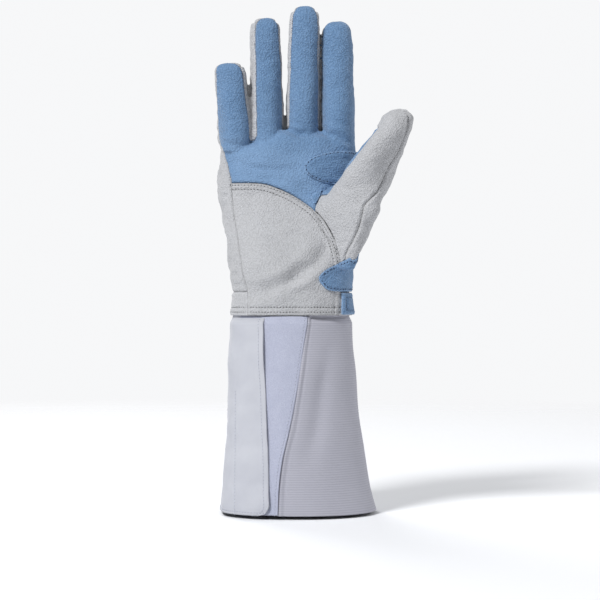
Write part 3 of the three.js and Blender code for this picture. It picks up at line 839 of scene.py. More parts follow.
def whole_skin():
    """The palm, the fingers and the thumb joined into one skin of even triangles."""
    verts, faces = [], []
    for section in (HAND, *DIGITS, THUMB, WEB):
        more, rings = loft(section)
        if section is HAND:
            top = smoothstep(more[:, 2], FINGER_ROOT - 14, FINGER_ROOT + 3)
            more[:, 2] -= 7.5 * top * smoothstep(-more[:, 0], 8, 26)
            more[:, 2] += 1.5 * top * hump(more[:, 0], 8, -4.6)
        shift = sum(len(v) for v in verts)
        verts.append(more)
        faces += [tuple(i + shift for i in face) for face in rings]
    form = new_object("skin", np.concatenate(verts), [], faces)
    mesh = remeshed(form, VOXEL)
    places = numbers_of(mesh.vertices, "co", 3) / MM
    edges = numbers_of(mesh.edges, "vertices", 2, int)
    mesh.calc_loop_triangles()
    tris = numbers_of(mesh.loop_triangles, "vertices", 3, int)
    for shrink in (0.5, -0.52) * 9:
        places += shrink * (neighbours_mean(places, edges, len(places)) - places)
    drop_meshes(mesh, form.data)
    places = filled_creases(places, edges, point_normals(places, tris))
    return {"tris": tris, "points": {"rest": places, "normal": point_normals(places, tris)}}


def filled_creases(places, edges, normals, passes=150):
    """The skin drawn taut over the creases between the thumb's foot and the hand."""
    taut = places.copy()
    for _ in range(passes):
        taut = neighbours_mean(taut, edges, len(taut))
    gain = ((taut - places) * normals).sum(1)
    x, _, z = places.T
    share = smoothstep(gain, 0.1, 1.0) * smoothstep(x, 20, 30)
    share = share * smoothstep(z, HEM_TOP - 6, HEM_TOP + 2) * (1 - smoothstep(z, 204, 222))
    return places + (taut - places) * share[:, None]


def line_distance(points, line):
    """Distance of 2-D points to an open line, and how far along it they are, from 0 to 1."""
    best = np.full(len(points), 1e9)
    place = np.zeros(len(points))
    pieces = len(line) - 1
    for k in range(pieces):
        a, b = np.array(line[k], float), np.array(line[k + 1], float)
        t = np.clip(((points - a) @ (b - a)) / ((b - a) @ (b - a)), 0, 1)
        away = np.hypot(*(points - a - t[:, None] * (b - a)).T)
        nearer = away < best
        best = np.where(nearer, away, best)
        place = np.where(nearer, (k + t) / pieces, place)
    return best, place


def fold_heights(rest, normal):
    """Height of the drawn folds and of the soft dents at each point of the skin."""
    facing = np.clip(-normal[:, 1], 0, 1)
    total = np.zeros(len(rest))
    for line, width, height in FOLDS:
        away, place = line_distance(rest[:, [0, 2]], line)
        fade = np.sin(math.pi * np.clip(0.15 + 0.7 * place, 0, 1))
        total += FOLD_GAIN * height * facing * fade * hump(away, width)
    dents = ripple(rest, 22, 5) * 0.35 + ripple(rest, 9, 8, (1.5, 1, 0.7)) * 0.12
    return total + dents


def seam_heights(away, deep=1.0, wide=0.9):
    """A seam's rolled edges: a narrow groove with a low shoulder beside it."""
    shoulder = 0.3 * hump(away, wide, 2.4 * wide)
    return shoulder - deep * hump(away, wide)


# Materials

def feed(tree, made, inputs):
    """Sets a node's inputs, by name or number, or links them to another node's output."""
    for name, value in inputs.items():
        if isinstance(value, bpy.types.NodeSocket):
            tree.links.new(value, made.inputs[name])
        else:
            made.inputs[name].default_value = value


def node(tree, kind, inputs=None, **values):
    made = tree.nodes.new(kind)
    for name, value in values.items():
        setattr(made, name, value)
    feed(tree, made, inputs or {})
    return made


def colour(r, g, b):
    """A colour from its sRGB numbers, 0 to 255."""
    linear = [pow((c / 255 + 0.055) / 1.055, 2.4) if c > 10 else c / 255 / 12.92 for c in (r, g, b)]
    return (*linear, 1)


def new_group(name, kind, inputs, outputs):
    """A node group with its sockets: label and kind, and the value of some inputs."""
    tree = bpy.data.node_groups.new(name, kind)
    for label, sort, *value in inputs:
        socket = tree.interface.new_socket(label, in_out="INPUT", socket_type="NodeSocket" + sort)
        if value:
            socket.default_value = value[0]
    for label, sort in outputs:
        tree.interface.new_socket(label, in_out="OUTPUT", socket_type="NodeSocket" + sort)
    return tree, node(tree, "NodeGroupInput").outputs, node(tree, "NodeGroupOutput")


def noise(tree, vector, scale, detail=2.0, rough=0.5):
    inputs = {"Scale": scale, "Detail": detail, "Roughness": rough, "Vector": vector}
    return node(tree, "ShaderNodeTexNoise", inputs).outputs["Fac"]


def maths(tree, operation, *values):
    return node(tree, "ShaderNodeMath", dict(enumerate(values)), operation=operation).outputs[0]


def mix_colours(tree, share, a, b):
    return node(tree, "ShaderNodeMix", {0: share, 6: a, 7: b}, data_type="RGBA").outputs[2]


def ranged(tree, value, low, high, to_low=0.0, to_high=1.0):
    inputs = {"Value": value, "From Min": low, "From Max": high, "To Min": to_low, "To Max": to_high}
    return node(tree, "ShaderNodeMapRange", inputs).outputs["Result"]


def suede_nap_group():
    """Nap of brushed leather: pebbled grain, soft cloudy patches, and brushed streaks, with painted
    highlight along the edges and painted shade along the seams.
    """
    inputs = (
        ("Vector", "Vector", (0, 0, 0)),
        ("Base", "Color", (0.5, 0.5, 0.5, 1)),
        ("Light", "Color", (0.7, 0.7, 0.7, 1)),
        ("Dark", "Color", (0.3, 0.3, 0.3, 1)),
        ("Edge", "Float", 0.0),
        ("Seam", "Float", 0.0),
        ("Grain", "Float", 900.0),
    )
    outputs = (("Color", "Color"), ("Height", "Float"), ("Roughness", "Float"))
    tree, given, end = new_group("suede nap", "ShaderNodeTree", inputs, outputs)
    where = given["Vector"]
    fine = noise(tree, where, given["Grain"], 1.0)
    cells = {"Vector": where, "Scale": 880, "Smoothness": 0.6, "Randomness": 1.0}
    cells = node(tree, "ShaderNodeTexVoronoi", cells, feature="SMOOTH_F1")
    pebble = ranged(tree, cells.outputs["Distance"], 0.0, 0.75, 1.0, 0.0)
    cloud = noise(tree, where, 30, 3.0)
    stretched = node(tree, "ShaderNodeMapping", {"Vector": where, "Scale": (1.0, 1.0, 0.35)})
    streak = noise(tree, stretched.outputs[0], 260)
    bright = ranged(tree, maths(tree, "MULTIPLY", fine, pebble), 0.3, 0.5)
    tint = given["Base"]
    for place, strength, label in (
        (bright, 0.5, "Light"),
        (ranged(tree, pebble, 0.42, 0.15), 0.3, "Dark"),
        (ranged(tree, cloud, 0.35, 0.7), 0.15, "Light"),
        # Edge: painted highlight and painted light; Seam: painted shade in the seams' grooves
        (given["Edge"], 0.55, "Light"),
        (given["Seam"], 0.75, "Dark"),
    ):
        tint = mix_colours(tree, maths(tree, "MULTIPLY", place, strength), tint, given[label])
    height = maths(tree, "ADD", maths(tree, "MULTIPLY", fine, 0.4), pebble)
    height = maths(tree, "ADD", height, maths(tree, "MULTIPLY", streak, 0.12))
    rough = ranged(tree, cloud, 0.3, 0.7, 0.88, 0.98)
    feed(tree, end, {"Color": tint, "Height": height, "Roughness": rough})
    return tree


def weave_group():
    """A plain weave over a UV map in metres: threads both ways, with slubs."""
    inputs = (("Vector", "Vector", (0, 0, 0)), ("Across", "Float", 1800.0), ("Along", "Float", 1800.0))
    outputs = (("Height", "Float"), ("Shade", "Float"))
    tree, given, end = new_group("plain weave", "ShaderNodeTree", inputs, outputs)
    parts = node(tree, "ShaderNodeSeparateXYZ", {0: given["Vector"]})
    waves = []
    for axis, label in enumerate(("Across", "Along")):
        turns = maths(tree, "MULTIPLY", parts.outputs[axis], given[label])
        waves.append(maths(tree, "SINE", maths(tree, "MULTIPLY", turns, 2 * math.pi)))
    cross = maths(tree, "MULTIPLY", maths(tree, "MULTIPLY", *waves), 0.5)
    height = maths(tree, "ADD", cross, noise(tree, given["Vector"], 700))
    shade = ranged(tree, noise(tree, given["Vector"], 60, 3.0), 0.3, 0.7)
    feed(tree, end, {"Height": height, "Shade": shade})
    return tree


def new_material(name):
    """A material, its nodes, its shader and its coordinates."""
    made = bpy.data.materials.new(name)
    made.use_nodes = True
    tree = made.node_tree
    return made, tree, tree.nodes["Principled BSDF"], node(tree, "ShaderNodeTexCoord").outputs


def finish_surface(tree, shader, tint, relief, **constants):
    """Sets a shader's colour, its relief (height, strength, distance) and its constants."""
    height, strength, distance = relief
    bump = {"Height": height, "Strength": strength, "Distance": distance}
    bump = node(tree, "ShaderNodeBump", bump)
    feed(tree, shader, {"Base Color": tint, "Normal": bump.outputs["Normal"]})
    feed(tree, shader, {name.replace("_", " "): value for name, value in constants.items()})


def suede_material(name, base, light, dark, grain):
    made, tree, shader, coordinates = new_material(name)
    inputs = {"Vector": coordinates["Object"], "Grain": grain}
    for label, tone in (("Base", base), ("Light", light), ("Dark", dark)):
        inputs[label] = colour(*tone)
    # edge carries the painted highlight and painted light, seam the painted shade
    for label in ("edge", "seam"):
        inputs[label.title()] = node(tree, "ShaderNodeAttribute", attribute_name=label).outputs["Fac"]
    nap = node(tree, "ShaderNodeGroup", node_tree=SUEDE_NAP)
    feed(tree, nap, inputs)
    nap = nap.outputs
    finish_surface(
        tree, shader, nap["Color"], (nap["Height"], 0.65, 0.0008),
        Roughness=nap["Roughness"], Sheen_Weight=0.25, Sheen_Roughness=0.5, Specular_IOR_Level=0.15,
    )
    return made


def cloth_material(name, base, shade, threads):
    made, tree, shader, coordinates = new_material(name)
    weave = node(tree, "ShaderNodeGroup", node_tree=WEAVE)
    feed(tree, weave, {"Vector": coordinates["UV"], "Across": threads, "Along": threads})
    tint = mix_colours(tree, weave.outputs["Shade"], colour(*base), colour(*shade))
    finish_surface(tree, shader, tint, (weave.outputs["Height"], 0.25, 0.0002), Roughness=0.8, **WOVEN)
    return made


def elastic_material(name, base, shade, pitch):
    """Ribbed elastic: painted shade between its ribs, with fine upright threads."""
    made, tree, shader, coordinates = new_material(name)
    up = node(tree, "ShaderNodeSeparateXYZ", {0: coordinates["UV"]}).outputs[1]
    turns = maths(tree, "MULTIPLY", up, 2 * math.pi / (pitch * MM))
    # Painted shade in the grooves between the ribs, in the shade colour.
    between = ranged(tree, maths(tree, "COSINE", turns), 1.0, 0.2)
    tint = mix_colours(tree, between, colour(*shade), colour(*base))
    soft = ranged(tree, noise(tree, coordinates["UV"], 70, 3.0), 0.3, 0.7, 0.0, 0.12)
    tint = mix_colours(tree, soft, tint, colour(*shade))
    threads = noise(tree, coordinates["UV"], 1500)
    finish_surface(tree, shader, tint, (threads, 0.3, 0.0002), Roughness=0.85, **WOVEN)
    return made


def pile_material(name, base, shade):
    made, tree, shader, coordinates = new_material(name)
    fuzz = noise(tree, coordinates["Object"], 1300, 3.0, 0.7)
    cloud = noise(tree, coordinates["Object"], 120, 3.0, 0.6)
    tint = mix_colours(tree, ranged(tree, fuzz, 0.35, 0.65), colour(*shade), colour(*base))
    tint = mix_colours(tree, ranged(tree, cloud, 0.35, 0.65, 0.0, 0.35), tint, colour(*shade))
    finish_surface(tree, shader, tint, (fuzz, 0.7, 0.0006), Roughness=0.95, Sheen_Weight=0.4)
    return made


def thread_material(name, base, shade):
    made, tree, shader, coordinates = new_material(name)
    twist = noise(tree, coordinates["Object"], 2500)
    tint = mix_colours(tree, ranged(tree, twist, 0.35, 0.65), colour(*base), colour(*shade))
    finish_surface(tree, shader, tint, (twist, 0.3, 0.0001), Roughness=0.7)
    return made


def thread_pair(name, thread, hole):
    """The materials of a thread and of the painted shadow in each hole that its needle made."""
    return thread_material(name + " thread", *thread), thread_material(name + " needle hole shadows", *hole)


SUEDE_NAP = suede_nap_group()
WEAVE = weave_group()
WOVEN = {"Sheen_Weight": 0.15, "Specular_IOR_Level": 0.25}
SUEDES = {
    "blue_suede": suede_material("blue suede", (103, 135, 171), (146, 175, 209), (60, 88, 122), 1400),
    "grey_suede": suede_material("grey suede", (180, 181, 184), (204, 205, 209), (144, 144, 144), 1400),
}
plain_cloth = cloth_material("plain cloth", (188, 190, 197), (181, 183, 191), 1500)
ribbed_elastic = elastic_material("ribbed elastic", (174, 174, 184), (158, 158, 169), RIB_PITCH)
loop_pile = pile_material("loop pile", (186, 190, 207), (167, 171, 191))
# Each pair's last two colours are painted shadow for the holes that the needle made.
grey_threads = thread_pair("grey", ((192, 193, 196), (160, 161, 164)), ((92, 91, 90), (70, 70, 70)))
blue_threads = thread_pair("blue", ((112, 140, 176), (84, 110, 144)), ((34, 50, 78), (26, 38, 62)))
pale_threads = thread_pair("pale", ((206, 209, 220), (176, 180, 194)), ((140, 143, 158), (120, 124, 140)))


# Stitches

def stitch_tree():
    """Geometry nodes that lay short threads along lines, flat on the surface below them, each with a dark
    dot of painted shadow for its hole between it and the next.
    """
    sizes = (("Pitch", 0.002), ("Length", 0.0014), ("Thickness", 0.0005), ("Hole", 0.0006))
    inputs = [("Geometry", "Geometry"), *((label, "Float", value) for label, value in sizes)]
    inputs += [("Thread material", "Material"), ("Hole material", "Material")]
    outputs = [("Geometry", "Geometry")]
    tree, given, end = new_group("stitch row", "GeometryNodeTree", inputs, outputs)
    curve = node(tree, "GeometryNodeMeshToCurve", {"Mesh": given["Geometry"]})
    spaced = {"Curve": curve.outputs[0], "Length": given["Pitch"]}
    spaced = node(tree, "GeometryNodeResampleCurve", spaced, mode="LENGTH")
    ball = node(tree, "GeometryNodeMeshUVSphere", {"Segments": 6, "Rings": 5, "Radius": 0.5})
    unit = node(tree, "GeometryNodeJoinGeometry")
    thick = given["Thickness"]
    beside = maths(tree, "MULTIPLY", given["Pitch"], 0.5)
    sunk = maths(tree, "MULTIPLY", thick, -0.3)
    for part, size, place in (
        ("Thread", {0: given["Length"], 1: thick, 2: thick}, {}),
        # The hole: a dark dot of painted shadow, half a pitch along, sunk a little
        ("Hole", {0: given["Hole"], 1: given["Hole"], 2: thick}, {0: beside, 2: sunk}),
    ):
        shaped = {"Geometry": ball.outputs["Mesh"]}
        for label, numbers in (("Scale", size), ("Translation", place)):
            shaped[label] = node(tree, "ShaderNodeCombineXYZ", numbers).outputs[0]
        shaped = node(tree, "GeometryNodeTransform", shaped)
        paint = {"Geometry": shaped.outputs[0], "Material": given[part + " material"]}
        paint = node(tree, "GeometryNodeSetMaterial", paint)
        tree.links.new(paint.outputs[0], unit.inputs[0])
    lie = node(tree, "GeometryNodeInputNamedAttribute", {"Name": "lie"}, data_type="FLOAT_VECTOR")
    facing = node(tree, "FunctionNodeAlignRotationToVector", {"Vector": lie.outputs[0]}, axis="Z")
    along = node(tree, "GeometryNodeInputTangent")
    aimed = {"Rotation": facing.outputs[0], "Vector": along.outputs[0]}
    aimed = node(tree, "FunctionNodeAlignRotationToVector", aimed, axis="X", pivot_axis="Z")
    points = {"Points": spaced.outputs[0], "Instance": unit.outputs[0], "Rotation": aimed.outputs[0]}
    points = node(tree, "GeometryNodeInstanceOnPoints", points)
    real = node(tree, "GeometryNodeRealizeInstances", {0: points.outputs[0]})
    feed(tree, end, {"Geometry": real.outputs[0]})
    return tree


STITCH_TREE = stitch_tree()
STITCH_LIFT = 0.12


def stitches(name, lines, materials, slot, pitch=2.0, length=1.3, thickness=0.5, hole=0.75):
    """Rows of thread along lines on the surface, as one piece."""
    places, edges, lies = [], [], []
    for line in lines:
        first = len(places)
        normal = line["normal"] / np.linalg.norm(line["normal"], axis=1)[:, None]
        places.extend(line["place"] + STITCH_LIFT * normal)
        lies.extend(normal)
        edges.extend((k, k + 1) for k in range(first, len(places) - 1))
    made = new_object(name, places, edges, [])
    lie = made.data.attributes.new("lie", "FLOAT_VECTOR", "POINT")
    lie.data.foreach_set("vector", np.array(lies, np.float32).ravel())
    modifier = made.modifiers.new("stitches", "NODES")
    modifier.node_group = STITCH_TREE
    names = {s.name: s.identifier for s in STITCH_TREE.interface.items_tree if s.in_out == "INPUT"}
    sizes = {"Pitch": pitch, "Length": length, "Thickness": thickness, "Hole": hole}
    for label, value in sizes.items():
        modifier[names[label]] = value * MM
    modifier[names["Thread material"]], modifier[names["Hole material"]] = materials
    apply_modifiers(made)
    made.data.shade_smooth()
    finish_piece(made, slot)


def even_line(line, passes=6):
    """A line with its small jags smoothed out."""
    line = {name: values.copy() for name, values in line.items()}
    for _ in range(passes):
        for values in line.values():
            values[1:-1] = (values[:-2] + 2 * values[1:-1] + values[2:]) / 4
    return line


def row_on(sheet, field, least=6.0, keep=None):
    return [even_line(line) for line in contour(sheet, field, least, keep)]


# How the panels of the hand stand out of the skin

def shape_panel(sheet, lift=0.0, deep=1.0, wide=0.9, puff=0.0, extra=None, pale=0.0, seam_shade=0.0):
    """Moves a panel's points out of the skin: its seams, its folds and its padding; it also sets the
    painted highlight and painted shade of its colour.
    """
    points = sheet["points"]
    rest = points["rest"]
    away = distance_to(rim_points(sheet), rest)
    height = points["height"] + lift + seam_heights(away, deep, wide)
    height += puff * (1 - hump(away, 9.0))
    if extra is not None:
        height += extra(rest, away)
    # Painted light: the front below the fingers is painted paler by the share pale, standing in for the
    # light that falls there.
    painted_light = pale * smoothstep(-rest[:, 1], 0, 10) * smoothstep(FINGER_ROOT - rest[:, 2], -6, 22)
    points["place"] = rest + points["normal"] * height[:, None]
    # Painted highlight along the panel's rims, where the edges catch the light, joined with the painted
    # light of the front.
    points["edge"] = np.maximum(hump(away, 0.8) * (1 - seam_shade), painted_light)
    # Painted shade along the seams' grooves, by the seam shade share.
    points["seam"] = hump(away, 0.55) * seam_shade
    points["away"] = away


def stitched_valley(field, places, deep=0.6, wide=0.75):
    """Valleys where rows of stitches pull the leather down."""
    return -sum(deep * hump(field, wide, place) for place in places)


def hem_extra(rest, away):
    return stitched_valley(rest[:, 2], HEM_ROWS)


def heel_extra(rest, away):
    field = heel_region(rest)
    ridge = 0.9 * hump(field, 3.5, -2) * smoothstep(rest[:, 2], HEM_TOP, HEM_TOP + 8)
    return ridge + stitched_valley(field, HEEL_ROWS) + hem_extra(rest, away)


def quilt_lines(rest):
    """For each line of quilting on the back: how far a point is from it, and where it runs."""
    x, y, z = rest.T
    long = column(HAND, "long", z)
    share = smooth(*PAD_SIDES.values(), z)
    beside = (np.abs((x - column(HAND, "x", z)) / long) - share) * long
    wrist = z - WRIST_LINE["height"] - WRIST_LINE["rise"] * smoothstep(y, 6, 33)
    out = [
        (beside, np.minimum(z - PAD_FOOT, FINGER_ROOT - 6 - z)),
        (z - PAD_FOOT, -beside),
        (wrist, y - 2),
    ]
    for i, digit in enumerate(DIGITS):
        own = FINGER_WIDTH / 2 + 0.5 - np.abs(x - column(digit, "x", z))
        drop = LITTLE_DROP if i == 3 else 0
        out.append((z - FINGER_ROOT + drop, own))
        out.append((z - FINGER_ROOT - KNUCKLE_RISE * FINGER_LENGTHS[i], own))
    return out


def quilt_field(rest):
    """Distance to the nearest line of quilting on the back of the hand."""
    return np.min([np.hypot(field, np.minimum(keep, 0)) for field, keep in quilt_lines(rest)], axis=0)


def back_extra(rest, away):
    quilt = quilt_field(rest)
    swell = PADDING * (1 - hump(np.minimum(quilt, away), 6))
    return smoothstep(rest[:, 1], 4, 14) * (0.3 * swell - 1.0 * hump(quilt, 1.2))


def held_share(p):
    """1 where a seam, a line of quilting or bare leather holds a point, 0 where padding swells it."""
    fields = [front_region(p), height_above(p, HEM_TOP), thumb_region(p), quilt_field(p)]
    fields += [strip_region(p, i) for i in range(3)]
    return 1 - smoothstep(np.min(fields, axis=0), 1.5, 4.0)


def padding_moves(full):
    """Cloth simulation of the padded back: its points at rest, and how each moves."""
    form = new_object("padding", full["points"]["rest"], [], full["tris"].tolist())
    fine = form.data
    form.data = coarse = remeshed(form, PAD_VOXEL)
    before = numbers_of(coarse.vertices, "co", 3) / MM
    held = held_share(before)
    group = form.vertex_groups.new(name="held")
    shares = np.round(held, 1)
    for share in np.unique(shares):
        group.add(np.flatnonzero(shares == share).tolist(), float(share), "REPLACE")
    cloth = form.modifiers.new("cloth", "CLOTH")
    for name, value in PAD_CLOTH.items():
        setattr(cloth.settings, name, value)
    cloth.settings.effector_weights.gravity = 0
    cloth.collision_settings.use_collision = False
    cloth.point_cache.frame_start = 1
    cloth.point_cache.frame_end = PAD_FRAMES
    for step in range(1, PAD_FRAMES + 1):
        bpy.context.scene.frame_set(step)
    after = numbers_of(evaluated(form).data.vertices, "co", 3) / MM
    bpy.context.scene.frame_set(1)
    moved = (after - before) * (1 - held)[:, None]
    reach = np.linalg.norm(moved, axis=1, keepdims=True)
    moved *= np.minimum(1, PAD_CAP / np.maximum(reach, 1e-6))
    bpy.data.objects.remove(form)
    drop_meshes(fine, coarse)
    return before, moved


def blown_up(full, sheet):
    """How far the padding moves each point of the back's sheet, in millimetres."""
    rest = sheet["points"]["rest"]
    out = np.zeros_like(rest)
    before, moved = padding_moves(full)
    tree = place_tree(before)
    for k, place in enumerate(rest):
        near = tree.find_n(place, 5)
        weight = np.array([1 / (d * d + 0.2) for _, _, d in near])
        out[k] = (moved[[i for _, i, _ in near]] * weight[:, None]).sum(0) / weight.sum()
    return out


def welted(rest):
    """1 along the pale welts round the fingers' faces, which get a painted highlight, 0 at the other
    seams, which get painted shade.
    """
    return smoothstep(rest[:, 2], FINGER_ROOT - 12, FINGER_ROOT) * smoothstep(-rest[:, 1], -4, 2)


def thumb_extra(rest, away):
    """A ridge along the thumb's outer seam, where its two halves are sewn edge to edge."""
    dx, dy = from_centre(THUMB, rest)
    turn, rise = outer_turn(rest), thumb_rise(rest)
    aside = np.abs(dx * np.sin(turn) - dy * np.cos(turn))
    past = np.where(dx * np.cos(turn) + dy * np.sin(turn) > 0, aside, 99)
    strength = smoothstep(rise, 0.42, 0.7) * smoothstep(1 - rise, 0.06, 0.25)
    return 1.2 * strength * hump(past, 4)


# Hand panels

def cut(sheet, region, *more):
    """The part of a sheet that lies in a region of the hand, and the part that doesn't."""
    return split(sheet, region(sheet["points"]["rest"], *more))


full_skin = whole_skin()
skin_points = full_skin["points"]
skin_points["height"] = fold_heights(skin_points["rest"], skin_points["normal"])
skin_points["thumb"] = thumb_region(skin_points["rest"])
_, whole = cut(full_skin, height_above, CUFF_LENGTH)

thumb, hand = split(whole, whole["points"]["thumb"])
over_thumb, thumb = cut(thumb, heel_over_thumb)
strips = []
for i in range(3):
    strip, hand = cut(hand, strip_region, i)
    strips.append(strip)
front, rear = cut(hand, front_region)
heel, palm = cut(front, heel_region)
heel = joined(heel, over_thumb)
band, back = cut(rear, height_above, HEM_TOP)
below, palm = cut(palm, height_above, HEM_TOP)
band = joined(band, below)
thumb_strip, thumb = cut(thumb, thumb_strip_region)
thumb_back, thumb_front = cut(thumb, thumb_back_region)
whole["points"]["side"] = side_region(whole["points"]["rest"], whole["points"]["thumb"])
side_panel, _ = split(whole, whole["points"]["side"])
wrist_tab, _ = cut(whole, wrist_tab_region)
side_field = side_panel["points"]["side"]


def side_extra(rest, away):
    return stitched_valley(side_field, (SIDE_ROW,), 0.4)


def tab_extra(rest, away):
    return stitched_valley(wrist_tab_region(rest), (TAB_ROW,))


shape_panel(palm, pale=0.6, seam_shade=1 - welted(palm["points"]["rest"]))
shape_panel(heel, extra=heel_extra, deep=0.5, seam_shade=0.8)
shape_panel(back, puff=0.4, extra=back_extra, seam_shade=0.8)
back["points"]["place"] += blown_up(full_skin, back)
shape_panel(band, extra=hem_extra, deep=0.5)
for strip in strips:
    shape_panel(strip, deep=0.7)
for half_thumb in (thumb_front, thumb_back):
    shape_panel(half_thumb, puff=0.5, extra=thumb_extra, seam_shade=0.8)
shape_panel(thumb_strip, deep=0.5)
shape_panel(side_panel, lift=PATCH + 0.3, deep=0.35, wide=1.0, extra=side_extra, pale=0.15)
shape_panel(wrist_tab, lift=PATCH + 0.3, deep=0.4, wide=1.0, extra=tab_extra)

suede_piece("palm_panel", palm, "blue_suede")
suede_piece("heel_patch", heel, "grey_suede")
suede_piece("back_panel", back, "grey_suede")
suede_piece("wrist_band", band, "grey_suede")
for strip, name in zip(strips, ("index_middle", "middle_ring", "ring_little")):
    suede_piece("fourchette_" + name, strip, "grey_suede")
suede_piece("thumb_front", thumb_front, "grey_suede")
suede_piece("thumb_back", thumb_back, "grey_suede")
suede_piece("thumb_strip", thumb_strip, "blue_suede")
suede_piece("side_panel", side_panel, "blue_suede", PATCH)
suede_piece("wrist_tab", wrist_tab, "blue_suede", PATCH)

heel_rest = heel["points"]["rest"]
heel_lines = []
for place in HEEL_ROWS:
    heel_lines += row_on(heel, heel_region(heel_rest) - place, 20, height_above(heel_rest, HEM_TOP + 1))
stitches("heel_stitches", heel_lines, grey_threads, "grey_suede", pitch=2.3, thickness=0.6, hole=0.95)
side_lines = row_on(side_panel, side_field - SIDE_ROW)
stitches("side_stitches", side_lines, blue_threads, "blue_suede", pitch=2.8, length=1.6, hole=1.15)
hem_lines = []
for sheet in (heel, band):
    for level in HEM_ROWS:
        hem_lines += row_on(sheet, height_above(sheet["points"]["rest"], level))
stitches("hem_stitches", hem_lines, grey_threads, "grey_suede", pitch=2.1, thickness=0.6, hole=0.9)
over_palm = height_above(palm["points"]["rest"], FINGER_ROOT - 8)
finger_lines = row_on(palm, palm["points"]["away"] - FINGER_ROW, 12, over_palm)
stitches(
    "finger_stitches", finger_lines, blue_threads, "blue_suede",
    pitch=1.7, length=1.0, thickness=0.35, hole=0.5,
)
back_rest = back["points"]["rest"]
quilt_rows = []
for field, runs in quilt_lines(back_rest):
    quilt_rows += row_on(back, field, 8, np.minimum(runs, back_rest[:, 1] - 6))
stitches("quilt_stitches", quilt_rows, grey_threads, "grey_suede", pitch=2.2, thickness=0.45, hole=0.7)
tab_lines = row_on(wrist_tab, wrist_tab_region(wrist_tab["points"]["rest"]) - TAB_ROW)
stitches("tab_stitches", tab_lines, blue_threads, "blue_suede")


# Cuff

def cuff_at(z):
    """The cuff's section at any height; above the hem's lower edge it is tucked inside the hand."""
    tuck = (SUEDE + 0.8) * smoothstep(z, CUFF_LENGTH - 6, CUFF_LENGTH)
    above = smoothstep(z, CUFF_LENGTH - 1, CUFF_LENGTH + 1)
    out = {"square": mix(CUFF_SQUARE, HAND_SQUARE, above)}
    for name, values in cuff_section(np.minimum(z, CUFF_LENGTH)).items():
        hand_value = column(HAND, name, np.maximum(z, CUFF_LENGTH))
        out[name] = mix(values, hand_value, above) - tuck * (name in ("long", "short"))
    return out


def cuff_sheet(from_angle, to_angle, offset, low, high, columns, rows):
    """A curved wall of the cuff: place, normal and UV of its outer face, and its faces."""
    z, share = np.meshgrid(np.linspace(low, high, rows), np.linspace(0, 1, columns), indexing="ij")
    section = {name: values.reshape(z.shape) for name, values in cuff_at(z.ravel()).items()}
    start, stop = from_angle(z), to_angle(z)
    angle = mix(start, stop, share)
    out = offset(angle, z, share, np.abs(stop - start) * section["long"])
    bend = 2 / section["square"]
    x = section["x"] + (section["long"] + out) * signed_power(np.cos(angle), bend)
    y = section["y"] + (section["short"] + out) * signed_power(np.sin(angle), bend)
    place = np.stack([x, y, z], -1)
    step = np.linalg.norm(np.diff(place, axis=1), axis=2)
    run = np.concatenate([np.zeros((rows, 1)), np.cumsum(step, 1)], 1)
    k, i = np.meshgrid(np.arange(rows - 1), np.arange(columns - 1), indexing="ij")
    a = (k * columns + i).ravel()
    faces = np.stack([a, a + 1, a + columns + 1, a + columns], -1)
    tris = np.concatenate([faces[:, [0, 1, 2]], faces[:, [0, 2, 3]]])
    places = place.reshape(-1, 3)
    points = {
        "rest": places,
        "place": places,
        "normal": point_normals(places, tris),
        "uv": np.stack([run, z], -1).reshape(-1, 2),
        "past": (run[:, -1:] - run).ravel(),
    }
    return {"faces": faces, "tris": tris, "points": points}


def front_angle(across):
    return -np.arccos(signed_power(across, CUFF_SQUARE / 2))


def up_cuff(edge, z):
    return mix(edge["rim"], edge["top"], np.clip(z / CUFF_LENGTH, 0, 1))


def fold_angle(z):
    return front_angle(smooth(*FOLD_ROWS.values(), np.clip(z / CUFF_LENGTH, 0, 1)))


def elastic_from(z):
    return fold_angle(z) - ELASTIC_LAP / (WRIST_WIDTH / 2)


def elastic_to(z):
    return np.arcsin(signed_power(up_cuff(ELASTIC_EDGE, z), CUFF_SQUARE / 2))


def cloth_from(z):
    return elastic_to(z) - ELASTIC_LAP / (WRIST_WIDTH / 2)


def cloth_to(z):
    """The flap's free edge, with a rounded corner at the rim."""
    drop = np.maximum(0, 1 - z / FLAP_CORNER)
    rounded = FLAP_CORNER * (1 - np.sqrt(1 - drop * drop)) / (MOUTH_WIDTH / 2)
    return 2 * math.pi + front_angle(up_cuff(FLAP_EDGE, z)) - rounded


def loop_from(z):
    return front_angle(up_cuff(FLAP_EDGE, z)) - FLAP_LAP / (WRIST_WIDTH / 2)


def loop_to(z):
    return fold_angle(z) + 0.01


def soft_waves(angle, z, wave, seed, stretch=(1, 1, 1)):
    """Soft dents over the cuff's wall, between about -1 and 1."""
    points = np.stack([angle * CUFF_RADIUS, z, z * 0], -1).reshape(-1, 3)
    return ripple(points, wave, seed, stretch).reshape(z.shape)


def cloth_offset(angle, z, share, run):
    """How far the plain cloth stands out: over the loop strip at the flap, under the elastic."""
    turned = np.degrees(angle)
    rise = smoothstep(turned, *FLAP_TURN)
    lap = rise * (0.9 + PILE + CLOTH) - (1 - smoothstep(turned, *ELASTIC_TURN)) * (ELASTIC + 0.3)
    calm = smoothstep(z, 0, 10) * smoothstep(CUFF_LENGTH - z, 2, 20)
    soft = soft_waves(angle, z, 45, 3, (0.6, 1, 1)) * 0.8
    crease = soft_waves(angle, z, 17, 11, (2.6, 0.9, 1)) * 0.28
    dip = -1.2 * hump(z, 6, 62) * smoothstep(turned, 235, 262)
    hem = -0.35 * hump(z, 0.7, 3.2)
    tuck = FLAP_TUCK * rise * smoothstep(z, CUFF_LENGTH - 5, CUFF_LENGTH)
    return lap + calm * (soft + crease + dip) + hem - tuck


